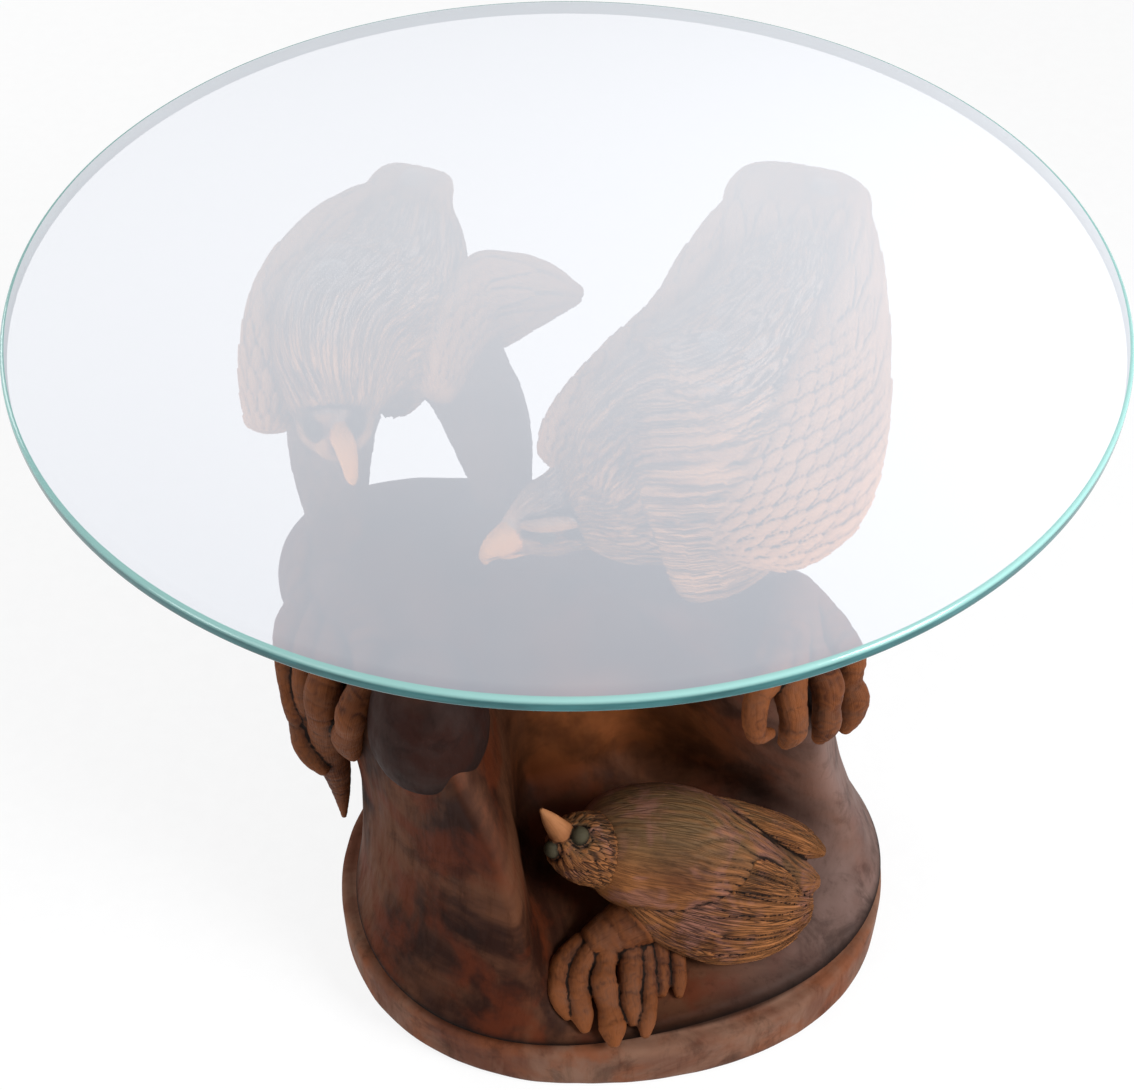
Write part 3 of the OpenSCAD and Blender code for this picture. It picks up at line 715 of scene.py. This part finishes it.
def stump_block():
    """Rings round the trunk's outside and back along the hollow's wall, closed by caps of strips.

    For the points of the rings it also gives how far each is pushed in and its share of the hollow's wall.
    """
    levels, outer_n, inner_n = (int(n/COARSE) for n in (STUMP_LEVELS, STUMP_TURNS, HOLLOW_TURNS))
    over = np.linspace(0, math.pi/2, levels//3 + 1)[1:]
    straight = np.linspace(0, 1 - 1.1*SHOULDER, levels*2//3)
    tt = np.concatenate([straight, 1 - 1.1*SHOULDER*np.cos(over)])[:, None]
    fo = np.linspace(0, 1, outer_n + 1)[None]
    fi = np.linspace(1, 0, inner_n + 1)[None, 1:-1]
    outer = bark(lip_to_lip(tt, fo), tt + 0*fo)
    loop = np.concatenate([outer, hollow_wall(tt + 0*fi, fi + 0*tt)], 1)
    pushed = np.concatenate([0*outer[..., 0], push_in(tt, fi)], 1).ravel()
    along_wall = (np.concatenate([0*fo, fi], 1) + 0*tt).ravel()
    rows, around = loop.shape[:2]
    turned_over = [0, 3, 2, 1]
    points, faces = [loop.reshape(-1, 3)], [wrapped(rows, around)[:, turned_over]]
    # deck and underside: strips from each outer point to a point of the hollow's wall
    at = np.linspace(0, inner_n, outer_n + 1)
    wall_ids = np.concatenate([[0], np.arange(around - 1, outer_n, -1), [outer_n]])
    share = np.linspace(0, 1, CAP_ROWS)[1:-1, None, None]
    for row, order in ((rows - 1, [0, 1, 2, 3]), (0, turned_over)):
        wall = loop[row, wall_ids]
        rim_in = np.stack([np.interp(at, np.arange(inner_n + 1), wall[:, c]) for c in range(3)], 1)
        strip = loop[row, :outer_n + 1]*(1 - share) + rim_in*share
        ids = np.arange(strip[..., 0].size).reshape(len(strip), -1) + sum(len(p) for p in points)
        ids = np.vstack([np.arange(outer_n + 1) + row*around, ids,
                         wall_ids[np.round(at).astype(int)] + row*around])
        quads = np.stack([ids[:-1, :-1], ids[:-1, 1:], ids[1:, 1:], ids[1:, :-1]], -1).reshape(-1, 4)
        points.append(strip.reshape(-1, 3))
        faces.append(quads[:, order])
    # strips share corners at the lips, so some quads there are triangles and some are nothing
    faces = [[v for n, v in enumerate(q) if v != q[n - 1]] for q in np.vstack(faces).tolist()]
    faces = [q for q in faces if len(q) > 2 and len(set(q)) == len(q)]
    corners, sizes = np.array([v for q in faces for v in q]), np.array([len(q) for q in faces])
    return (np.vstack(points), corners, sizes), pushed, along_wall


def stump_piece():
    block, pushed, along_wall = stump_block()
    mesh = mesh_from("stump", *block)
    points, out = points_of(mesh), normals_of(mesh)
    height = 1.1*rough(points, 60, 4) + 0.6*rough(points*np.array([1, 1, 0.25]), 16, 5)
    inside, across = np.zeros(len(points)), np.zeros(len(points))
    inside[:len(pushed)] = pushed
    across[:len(pushed)] = along_wall
    level = (points[:, 2] - PLINTH_H)/STUMP_H
    points += out*((height - 0.8)*np.clip(12*level, 0, 1))[:, None]
    points[:, 2] = np.clip(points[:, 2], PLINTH_H, DECK_Z)
    place(mesh, points)
    # painted shade lies darkest at the hollow's left and in the groove, painted light on the two folds, and a
    # warm patch with painted light on the hollow's back wall
    deep = inside*fade(across, 0.48, 0.8)*fade(points[:, 2], PLINTH_H + 8, PLINTH_H + 110)
    groove = bell(points[:, 2], PLINTH_H, 2.5)
    folds = bell(across, 0.09, 0.06)*fade(level, 0.02, 0.2) + bell(across, 0.93, 0.035)*fade(level, 0.35, 0.8)
    keep(mesh, cavity=np.clip(0.85*deep + groove, 0, 1), worn=np.clip(folds*(across > 0), 0, 1),
         warmth=bell(across, 0.44, 0.23)*bell(level, 0.47, 0.17)*inside)
    settle("stump", mesh, "base", "smooth_wood", stump_wood)


def boulder_piece():
    x, y, z = bark(BOULDER_TURN, BOULDER_T, BOULDER_OFF)
    round_by = [(c, math.sqrt(1 - c*c)*(1 - BOULDER_TAPER*c))
                for c in (-1, -0.94, -0.8, -0.55, -0.2, 0.2, 0.55, 0.8, 0.94, 1)]
    boulder = Form([[x, y, z + BOULDER_R[2]*c, max(1, BOULDER_R[0]*k), max(1, BOULDER_R[1]*k)]
                    for c, k in round_by], up=(0, 1, 0))
    mesh = one_skin("boulder", [boulder], 1.6, 8)
    points, out = points_of(mesh), normals_of(mesh)
    points += out*(1.0*rough(points, 34, 8) + 0.3*rough(points, 9, 9) - 0.6)[:, None]
    place(mesh, points)
    # painted shade on its underside, painted light on its top
    keep(mesh, cavity=0.8*fade(-out[:, 2], 0.2, 0.7), worn=0.9*fade(out[:, 2], 0.5, 0.95))
    settle("boulder", mesh, "base", "smooth_wood", boulder_wood)


plinth_piece()
stump_piece()
boulder_piece()

# Right eagle: R and r are the body's and the head's half width, T the thickness of a wing
R, r, T = BODY_RIGHT, HEAD_RIGHT, WING_T
right_body = deck_form(
    [[-44, 15, 52, 13, 15], [-26, 21, 58, r - 5, r - 3], [-2, 29, 66, r + 1, r + 2], [26, 27, 78, 46, 54],
     [52, 29, 96, 62, 86], [76, 29, 102, R - 8, 110], [104, 59, 114, R, 100], [132, 111, 132, R - 12, 78],
     [148, 159, 152, 52, 54], [158, 195, 174, 36, 28]], rings=90, around=96)
right_beak = deck_form(
    [[-32, 17, 58, 15], [-46, 11, 54, 11, 12], [-56, 8, 48, 8, 10], [-62, 6, 41, 5, 6],
     [-63, 6, 33, 1.5, 2]], rings=24, around=24)
right_jaw = deck_form(
    [[-30, 20, 47, 13, 9], [-42, 14, 42, 9, 6], [-51, 11, 39, 6, 4], [-56, 9, 38, 2]], rings=16, around=20)
right_brow = deck_form(
    [[-38, 3, 72, 3, 2.5], [-26, -4, 79, 5.5, 4.5], [-12, -4, 81, 5.5, 5], [4, 1, 78, 3]],
     rings=20, around=20)
right_eye = ball(ON_DECK + [-21, 0, 66], 6)
right_near_wing = deck_form(
    [[90, -27, 92, 0.3*T, 16], [102, -30, 104, 0.5*T, 36], [126, -22, 118, 0.55*T, 52],
     [152, 4, 134, 0.55*T, 60], [172, 46, 148, 0.5*T, 56], [184, 94, 160, 0.42*T, 46],
     [190, 140, 172, 0.34*T, 34], [191, 180, 186, 0.22*T, 20], [188, 206, 196, 0.1*T, 8]],
     up=(-0.34, 0.23, 0.91), rings=80, around=72)
right_far_wing = deck_form(
    [[-18, 48, 92, 0.25*T, 14], [-4, 58, 104, 0.4*T, 32], [24, 78, 116, 0.5*T, 46],
     [58, 111, 132, 0.5*T, 48], [78, 151, 150, 0.4*T, 40], [98, 187, 168, 0.3*T, 28],
     [116, 211, 184, 0.2*T, 14], [128, 221, 190, 0.1*T, 6]], rings=80, around=72)
right_tail = deck_form(
    [[138, 135, 170, TAIL_R - 8, 16], [144, 163, 186, TAIL_R - 2, 13], [149, 189, 197, TAIL_R, 12],
     [154, 208, 202, TAIL_R - 6, 9], [157, 218, 204, TAIL_R - 20, 5]], rings=50, around=72)
# Rear eagle
R, r = BODY_REAR, HEAD_REAR
rear_body = deck_form(
    [[-160, 41, 108, 14, 15], [-161, 51, 111, r - 3, r - 2], [-162, 62, 115, r, r + 3],
     [-162, 75, 126, 36, 46], [-157, 93, 139, R - 8, 70], [-144, 117, 145, R, 68], [-131, 141, 150, R, 60],
     [-121, 167, 164, R - 10, 44], [-116, 189, 180, 36, 28], [-114, 205, 190, 22, 14]],
     rings=80, around=84)
rear_beak = deck_form(
    [[-156, 47, 121, 10, 9], [-153, 33, 119, 8, 9], [-150, 25, 109, 6, 9], [-149, 22, 98, 4, 5],
     [-148, 24, 90, 1.5, 2]], rings=24, around=24)
rear_eyes = [ball(ON_DECK + p, 5.5) for p in ([-173, 43, 122], [-146, 45, 124])]
rear_left_wing = deck_form(
    [[-94, 79, 124, 0.3*T, 16], [-88, 99, 134, 0.4*T, 38], [-68, 139, 146, 0.4*T, 42],
     [-46, 147, 150, 0.35*T, 36], [-22, 151, 150, 0.25*T, 24], [0, 152, 148, 0.1*T, 6]],
     rings=70, around=72)
rear_right_wing = deck_form(
    [[-209, 75, 100, 0.45*T, 18], [-207, 97, 120, 0.6*T, 34], [-200, 123, 144, 0.6*T, 42],
     [-186, 149, 162, 0.6*T, 38], [-168, 175, 178, 0.5*T, 28], [-152, 193, 188, 0.35*T, 18],
     [-140, 205, 194, 0.2*T, 9]], rings=70, around=72)
rear_tail = deck_form(
    [[-126, 161, 168, TAIL_R - 12, 14], [-122, 181, 186, TAIL_R - 14, 12],
     [-117, 197, 196, TAIL_R - 18, 12], [-112, 209, 201, TAIL_R - 22, 10],
     [-109, 217, 203, TAIL_R - 27, 7]], rings=40, around=60)
rear_left_leg = deck_form(
    [[-82, 123, 110, 30], [-68, 121, 75, 30], [-60, 119, 40, 27], [-56, 116, 12, 22], [-55, 114, -14, 20]],
     up=(0, 1, 0), rings=40)
rear_right_leg = deck_form(
    [[-166, 111, 100, 30], [-172, 103, 70, 30], [-174, 97, 40, 27], [-174, 94, 12, 23],
     [-173, 92, -12, 21]], up=(0, 1, 0), rings=40)

# Feet, lying on the stump
right_toes = [Form(grip(s), up=(1, 0.2, 0.3), rings=40, around=28) for s in (
    [[6, 1.01, 6, 12], [0, 1.03, 8, 15.5], [-8, 1.03, 6, 17], [-16, 1.03, 4, 15.5], [-24, 1.02, 2, 11]],
    [[0, 1.03, 12, 13], [-6, 0.98, 20, 12], [-8, 0.9, 19, 11], [-9, 0.83, 15, 9], [-10, 0.77, 18, 11],
     [-11, 0.71, 16, 9], [-12, 0.66, 11, 5]],
    [[-8, 1.04, 12, 12], [-15, 1.01, 20, 11], [-20, 0.95, 17, 11.5], [-22, 0.89, 12, 9.5],
     [-23, 0.83, 10, 10], [-24, 0.77, 5, 5]],
    [[-14, 1.05, 8, 12], [-23, 1.03, 17, 10], [-29, 0.99, 14, 11], [-31, 0.93, 6, 9.5], [-32, 0.88, 2, 9.5],
     [-33, 0.83, -5, 5]],
    [[-18, 1.05, 6, 11], [-28, 1.04, 12, 9], [-36, 1.02, 12, 8.5], [-41, 0.98, 6, 8], [-41, 0.93, -1, 6.5],
     [-37, 0.91, -1, 3.5]])]
rear_toes = [Form(grip(s), up=(-1, 0.3, 0.2), rings=48, around=28) for s in (
    [[156, 1.02, -18, 12], [164, 1.03, -6, 15.5], [176, 1.03, 0, 17], [188, 1.03, 2, 17], [198, 1.02, 2, 12]],
    [[163, 1, 2, 8.5], [167, 1.05, 10, 8.5], [172, 1.04, 14, 8.5], [176, 0.98, 12, 7], [179, 0.92, 6, 5]],
    [[174, 1.02, 6, 11], [181, 0.94, 15, 11], [186, 0.86, 20, 9.5], [188, 0.8, 23, 8.5], [190, 0.75, 25, 10],
     [191, 0.7, 27, 8.5], [193, 0.65, 29, 10], [195, 0.61, 28, 8.5], [197, 0.57, 24, 4]],
    [[180, 1.03, 6, 12], [187, 0.96, 12, 11.5], [190, 0.88, 14, 10], [191, 0.81, 14, 11.5],
     [192, 0.73, 16, 10], [193, 0.65, 17, 10], [194, 0.59, 15, 5]],
    [[187, 1.04, 8, 11.5], [195, 0.98, 15, 11.5], [197, 0.88, 13, 13], [196, 0.78, 11, 13.5],
     [194, 0.68, 13, 13.5], [193, 0.58, 15, 12], [192, 0.5, 15, 10.5], [191, 0.45, 15, 9],
     [190, 0.45 - 0.5*CLAW, 14, 6], [190, 0.45 - CLAW, 13, 2]],
    [[195, 1.04, 4, 12], [204, 1, 13, 11], [208, 0.93, 12, 11.5], [206, 0.85, 8, 9.5], [203, 0.78, 7, 11],
     [201, 0.71, 5, 9], [199, 0.64, 3, 5]])]

# Nestling: r is the body's half width, h the head's, q the scale of the toes
r, h, q = CHICK_R, CHICK_HEAD_R, CHICK_TOE_R/8
chick_body = hollow_form(
    [[-22, -98, 80, r - 30], [-6, -97, 78, r - 12], [20, -98, 74, r - 2], [50, -99, 68, r],
     [76, -101, 60, r - 6], [102, -102, 50, r - 16], [124, -103, 44, 24, 22], [142, -103, 40, 15, 13],
     [152, -103, 38, 6, 5]], rings=80, around=84)
chick_far_wing = hollow_form(
    [[21, -80, 90, 8, 12], [40, -80, 90, 14, 20], [65, -80, 82, 16, 22], [98, -79, 70, 16, 20],
     [130, -79, 58, 14, 15], [149, -81, 50, 9, 8], [158, -83, 46, 3]], rings=60, around=56)
chick_near_wing = hollow_form(
    [[8, -128, 72, 5, 10], [21, -130, 70, 9, 24], [38, -132, 66, 12, 36], [60, -135, 60, 13, 42],
     [85, -137, 53, 12, 43], [111, -134, 44, 10, 36], [130, -127, 36, 7, 26], [146, -118, 30, 3, 12]],
     up=(0, 0.5, 0.86), rings=70, around=72)
chick_head = hollow_form(
    [[-34, -118, 112, h - 12], [-30, -117, 106, h - 4], [-22, -115, 98, h], [-12, -113, 88, h],
     [0, -111, 78, h - 4]], up=(0, 1, 0), rings=36)
chick_beak = hollow_form(
    [[-28, -117, 104, 12], [-36, -117, 118, 9, 8], [-43, -116, 130, 6, 5], [-49, -115, 140, 1.5]],
     up=(0, 1, 0), rings=24, around=24)
chick_eyes = [ball(IN_HOLLOW + p, 6.5) for p in ([-22, -121, 118], [-41, -125, 108])]
chick_toes = [hollow_form([[x, y, z, q*w] for x, y, z, w in s], rings=34, around=28) for s in (
    [[-12, -152, 30, 14], [8, -141, 34, 18.5], [29, -133, 36, 16.5], [50, -128, 32, 13]],
    [[-20, -150, 30, 8], [-35, -167, 29, 8], [-38, -184, 25, 7.5], [-34, -194, 18, 6.5], [-30, -201, 12, 3]],
    [[-12, -154, 30, 9.5], [-22, -169, 27, 9], [-24, -185, 21, 9], [-20, -200, 13, 8], [-18, -208, 7, 3.5]],
    [[-3, -155, 30, 9.5], [-5, -172, 27, 8], [-5, -181, 24, 10], [-2, -194, 15, 7.5], [1, -206, 8, 10],
     [2, -217, 3, 4]],
    [[14, -152, 27, 9.5], [14, -170, 20, 9], [13, -184, 14, 8], [15, -195, 9, 7.5], [16, -202, 6, 3.5]],
    [[24, -144, 26, 8], [27, -166, 17, 6.5], [27, -186, 9, 6.5], [25, -201, 6, 6.5], [24, -210, 3, 3]],
    [[34, -140, 27, 8], [36, -156, 19, 6.5], [37, -170, 12, 6.5], [37, -180, 8, 3]],
    [[46, -136, 26, 7], [48, -154, 17, 6], [49, -169, 11, 6], [49, -180, 7, 3]])]


# Relief of each kind of form and its tone, from the length along it, the share round it and its whole length
def plumage(head, row, count, lift, hair, depth, seed):
    """Hair-like grooves on the head and neck that turn into soft feathers on the body."""
    def relief(a, f, _):
        body = fade(a, head, 2.2*head)
        soft, tone = feathers(a, f, row, count, lift, seed)
        return soft*body + streaks(a, f, hair, depth, 80, seed)*(1 - 0.55*body)*fade(a, 6, 26), tone*body
    return relief


def wing(row, count, lift, quills, seed):
    """Scale-like coverts at the shoulder and long quills behind them."""
    def relief(a, f, length):
        small, tone = feathers(a, f, row, count, lift, seed)
        long, own = feathers(a, f, 3.4*row, quills, 1.2*lift, seed + 3)
        far = fade(a, 0.42*length, 0.56*length)
        fine = streaks(a, f, 4*quills, 0.25*lift, 60, seed)
        return small*(1 - far) + (long + fine)*far, tone*(1 - far) + own*far
    return relief


def tail(quills, depth, seed):
    def relief(a, f, length):
        h, tone = feathers(a, f, 0.45*length, quills, 1.3*depth, seed)
        return h + streaks(a, f, 4*quills, 0.3*depth, 50, seed), tone
    return relief


def toe(seed):
    """Uneven wrinkles across a toe, and a smooth claw."""
    def relief(a, f, length):
        claw = fade(a, 0.8*length, 0.92*length)
        bent = a + 1.6*np.sin(TAU*f + seed) + 0.9*np.sin(2*TAU*f + 2.3*seed)
        h = 0*a
        for k in range(1, int(length/10)):
            at = 10*k + 4*math.sin(5.1*k + 2.7*seed)
            h -= (0.25 + 0.25*math.sin(3.3*k + seed))*bell(bent, at, 2.4)
        return (h + 0.2)*(1 - claw) + 0.4*streaks(a, f, 8, 1.0, 26, seed), 0.5
    return relief


def chick_back(a, f, _):
    """Smooth shoulders that run out into long streaks."""
    return streaks(a, f, 40, 1.1, 120, 13)*(0.35 + 0.65*fade(a, 60, 110))*fade(a, 8, 30), 0.5


def long_feathers(count, depth, seed):
    """Narrow feathers that run the whole length, with fine streaks."""
    def relief(a, f, length):
        late, own = feathers(a, f, 0.4*length, count, depth, seed)
        far = fade(a, 0.25*length, 0.6*length)
        return late*far + streaks(a, f, 5*count, 0.8, 110, seed)*fade(a, 4, 20), own*far
    return relief


def fluff(row, count, lift, seed):
    """Short rows of soft feathers."""
    def relief(a, f, _):
        return feathers(a, f, row, count, lift, seed)[0] + streaks(a, f, 34, 0.5, 50, seed), 0.5
    return relief


def ring(at, outward, r):
    """A circle of points of radius r round a point, square to the outward direction."""
    out = unit(np.array(outward, float))
    side = unit(np.cross(out, (0.3, 1, 0.2)))
    up = np.cross(out, side)
    return [np.array(at) + r*(math.cos(b)*side + math.sin(b)*up) for b in np.linspace(0, TAU, 25)]


def on_deck(*places):
    return [ON_DECK + np.array(p, float) for p in places]


def limb(name, form, relief, *beside, wood=wing_wood, voxel=1.2, soften=4, creases=9.0):
    carve(name, [form], [relief], wood, voxel, soften, beside=beside, creases=creases)


def foot(name, toes, first_seed, *beside, voxel=1.0):
    carve(name, toes, [toe(first_seed + n) for n in range(len(toes))], toe_wood, voxel, 5, beside=beside)


mouth = on_deck((-60, 3, 40), (-48, -3, 44), (-34, -9, 47), (-18, -10, 46), (-6, -6, 42))
eye_hollow = on_deck((-36, -1, 66), (-26, -8, 66), (-12, -6, 66), (-2, -2, 66))
carve("right_eagle_body", [right_body, right_beak, right_jaw, right_brow, right_eye],
      [plumage(head=70, row=26, count=22, lift=1.3, hair=62, depth=1.5, seed=1)], right_wood,
      voxel=1.9, soften=5, lines=[(mouth, 2.0, -3.4), (eye_hollow, 3.6, -3.8)],
      beside=[right_near_wing, right_far_wing, right_tail], strand=2.2, hairy=(0.9,), fill=(52, 130),
      special=[((1, 2), beak_wood), ((4,), eye_wood)])
limb("right_eagle_left_wing", right_near_wing, wing(12, 20, 2.8, 9, 2), right_body, voxel=1.3, creases=7.0)
limb("right_eagle_right_wing", right_far_wing, wing(12, 16, 2.4, 8, 5), right_body, voxel=1.3)
limb("right_eagle_tail", right_tail, tail(9, 1.6, 3), right_body)
foot("right_eagle_foot", right_toes, 0, right_near_wing)
eye_sockets = on_deck((-176, 41, 122), (-143, 43, 124))
carve("rear_eagle_body", [rear_body, rear_beak, *rear_eyes],
      [plumage(head=60, row=22, count=22, lift=1.3, hair=54, depth=1.3, seed=7)], rear_wood,
      voxel=1.6, soften=5, dents=[(at, 8, -3.0) for at in eye_sockets],
      beside=[rear_left_wing, rear_right_wing, rear_tail], strand=2.0, hairy=(0.9,),
      special=[((1,), beak_wood), ((2, 3), eye_wood)])
limb("rear_eagle_left_wing", rear_left_wing, wing(14, 16, 2.0, 8, 8), rear_body)
limb("rear_eagle_right_wing", rear_right_wing, wing(14, 16, 2.0, 8, 9), rear_body)
limb("rear_eagle_tail", rear_tail, tail(7, 1.4, 4), rear_body)
for side, leg, near, seed in (("left", rear_left_leg, rear_left_wing, 11),
                              ("right", rear_right_leg, rear_right_wing, 12)):
    limb("rear_eagle_" + side + "_leg", leg, fluff(15, 14, 1.2, seed), rear_body, near, wood=leg_wood,
         voxel=1.3, soften=6, creases=14.0)
foot("rear_eagle_foot", rear_toes, 0, voxel=1.1)
carve("nestling_body", [chick_body, chick_far_wing, chick_near_wing],
      [chick_back, long_feathers(9, 1.2, 14), long_feathers(11, 1.5, 15)], nestling_wood, voxel=1.3,
      strand=1.8, hairy=(0.35, 0.7, 0.8))
eye_rings = [ring(IN_HOLLOW + at, out, 8.6) for at, out in (([-22, -121, 117], [0, -6, 20]),
                                                           ([-40, -124, 107], [-19, -10, 10]))]
nest = [chick_body, chick_far_wing, chick_near_wing]
carve("nestling_head", [chick_head, chick_beak, *chick_eyes], [fluff(7, 16, 1.3, 16)], nestling_wood,
      voxel=0.9, soften=4, beside=nest, strand=1.2, hairy=(0.9,),
      lines=[(circle, 1.3, -1.2) for circle in eye_rings],
      special=[((1,), small_beak_wood), ((2, 3), eye_wood)])
foot("nestling_feet", chick_toes, 7, *nest)


# Glass top, pads and dowels
def clear_glass(name, near, far, low, high, shine):
    """Glass that shows what is behind it through a painted reflection of a bright sky, a pale sheet of
    colour, stronger and brighter at a flat angle.
    """
    f = Finish(name)
    facing = f.node("LayerWeight", 0.5, out=1)
    dust = f.noise(f.here(), 7.0, 4.0, 0.6).span(0.3, 0.7, 0.985, 1.015)
    tint = f.mix(facing.span(0.12, 0.5), colour(near), colour(far))
    # painted reflection of a bright sky, as a pale diffuse sheet mixed over the clear glass
    painted_reflection = f.node("BsdfPrincipled", Base_Color=tint, Roughness=shine, IOR=GLASS_IOR,
                  Specular_IOR_Level=0.2)
    open_air = f.node("BsdfTransparent")
    f.finish_with(f.node("MixShader", facing.span(0.05, 0.6, low, high)*dust, open_air, painted_reflection))
    return f


def edge_glass():
    """The teal of the cut edge, with a painted highlight along its top bend."""
    f = Finish("glass_rim")
    here = f.here()
    height = f.node("SeparateXYZ", here, out=2)
    # painted highlight along the top bend of the edge
    painted_highlight = height.span((GLASS_Z + 6.3)*MM, (GLASS_Z + 9.2)*MM)
    streak = f.noise(f.stretched(here, (1.0, 1.0, 8.0)), 30.0, 3.0)
    f.surface(Base_Color=f.painted(colour("13494b"), (streak.span(0.3, 0.7), "275f61"), (painted_highlight, "8fbab5")),
              Roughness=0.12, IOR=GLASS_IOR, Specular_IOR_Level=0.35)
    return f


painted_sky_reflection = clear_glass("glass_face", "cfd3de", "f8faff", 0.38, 0.78, 0.12)
underside = clear_glass("glass_underside", "cfe0de", "cfe0de", 0.02, 0.05, 0.05)
rim_glass = edge_glass()


def glass_piece():
    e, flat, top = GLASS_EDGE, GLASS_D/2 - GLASS_EDGE, GLASS_Z + GLASS_T
    bend = np.radians(np.linspace(0, 90, GLASS_BEND))
    rings = [*GLASS_RINGS, flat - 8]
    rows = [(q, GLASS_Z) for q in rings]
    rows += [(flat + e*math.sin(b), GLASS_Z + e - e*math.cos(b)) for b in bend]
    rows += [(flat + e*math.cos(b), top - e + e*math.sin(b)) for b in bend]
    rows += [(q, top) for q in rings[::-1]]
    mesh = mesh_from("glass_top", *turned(rows, (0, 0), np.arange(GLASS_TURNS)*360/GLASS_TURNS))
    settle("glass_top", mesh, "glass", "glass", painted_sky_reflection, underside, rim_glass)
    mesh.polygons.foreach_set("material_index", [
        2 if math.hypot(p.center.x, p.center.y)/MM > flat - 1 else 0 if p.normal.z > 0 else 1
        for p in mesh.polygons])


glass_piece()

pads, pegs = Finish("clear_pad"), Finish("dowel_wood")
cloud = pads.noise(pads.here(), 200.0).span(0.3, 0.7)
fibre = pegs.noise(pegs.stretched(pegs.here(), (1.0, 1.0, 0.1)), 400.0, 3.0).span(0.3, 0.7)
pads.surface(Base_Color=pads.mix(cloud, colour("d6dcdc"), colour("e9eeee")), Roughness=0.25, Alpha=0.2,
             Specular_IOR_Level=0.1)
pegs.surface(Base_Color=pegs.mix(fibre, colour("b98c5a"), colour("d3ad7c")), Roughness=0.6)
for node, finish in (("glass_pads", pads), ("dowels", pegs)):
    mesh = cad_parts[node].data
    mesh.materials.clear()
    mesh.materials.append(finish.owner)

# Stage: floor, light and camera
WHITE, NEARLY_WHITE, SOFT_SKY, SKY_LIGHT = (1, 1, 1, 1), (0.99, 0.99, 0.99, 1), (0.95, 0.97, 1, 1), 0.42
CAMERA_RAY, GLOSSY_RAY, TRANSMISSION_RAY = 0, 3, 6
# name, place and aim, width, in metres, and watts
LAMPS = (("key", (1.6, -1.0, 1.5), (0.02, -0.08, 0.3), 0.9, 50),
         ("fill", (-1.8, -1.5, 1.1), (0.02, -0.08, 0.25), 1.6, 15),
         ("back", (-2.0, 1.3, 1.3), (0, 0, 0.35), 1.0, 18),
         ("low_right", (1.5, -1.1, 0.66), (0.05, 0.05, 0.42), 0.6, 8),
         ("low_left", (-1.6, -0.9, 0.66), (-0.15, 0.1, 0.42), 0.6, 6))
LENS, SENSOR, EYE, LOOK_DOWN, FLOOR_SIZE = 60.3, 36, (0, -0.968, 1.241), 44.7, 30

bpy.ops.mesh.primitive_plane_add(size=FLOOR_SIZE)
floor = bpy.context.object
floor.name = "floor"
paper = Finish("floor_paper")
seen, glossy, through = (paper.node("LightPath", out=ray)
                         for ray in (CAMERA_RAY, GLOSSY_RAY, TRANSMISSION_RAY))
# the paper shows its shadows near the table and turns plain white away from it
distance = paper.node("VectorMath", paper.here(), out=1, settings={"operation": "LENGTH"})
bare_white = seen.most(glossy.most(through))*distance.span(0.9, 3.0, 0.84, 1.0)
matte = paper.node("BsdfDiffuse", colour("f4f4f4"))
grain = paper.noise(paper.here(), 60.0).span(0.3, 0.7)
white = paper.node("Emission", paper.mix(grain, NEARLY_WHITE, WHITE), 1.0)
paper.finish_with(paper.node("MixShader", bare_white, matte, white))
floor.data.materials.append(paper.owner)

studio = Finish("studio", "worlds")
soft, plain_white = (studio.node("Background", tone, strength)
                     for tone, strength in ((SOFT_SKY, SKY_LIGHT), (WHITE, 1.0)))
direct = studio.node("LightPath", out=CAMERA_RAY)
sky = studio.node("MixShader", direct, soft, plain_white)
studio.finish_with(sky, "OutputWorld")
bpy.context.scene.world = studio.owner

for name, at, aim, width, watts in LAMPS:
    data = bpy.data.lights.new(name, "AREA")
    data.shape, data.size, data.energy = "DISK", width, watts
    lamp = bpy.data.objects.new(name, data)
    lamp.location = at
    lamp.rotation_euler = (Vector(aim) - Vector(at)).to_track_quat("-Z", "Y").to_euler()
    bpy.context.collection.objects.link(lamp)

camera = bpy.data.objects.new("camera", bpy.data.cameras.new("camera"))
camera.data.lens, camera.data.sensor_width = LENS, SENSOR
camera.location = EYE
camera.rotation_euler = (math.radians(90 - LOOK_DOWN), 0, 0)
bpy.context.collection.objects.link(camera)
bpy.context.scene.camera = camera
bpy.context.scene.view_settings.view_transform = "Standard"
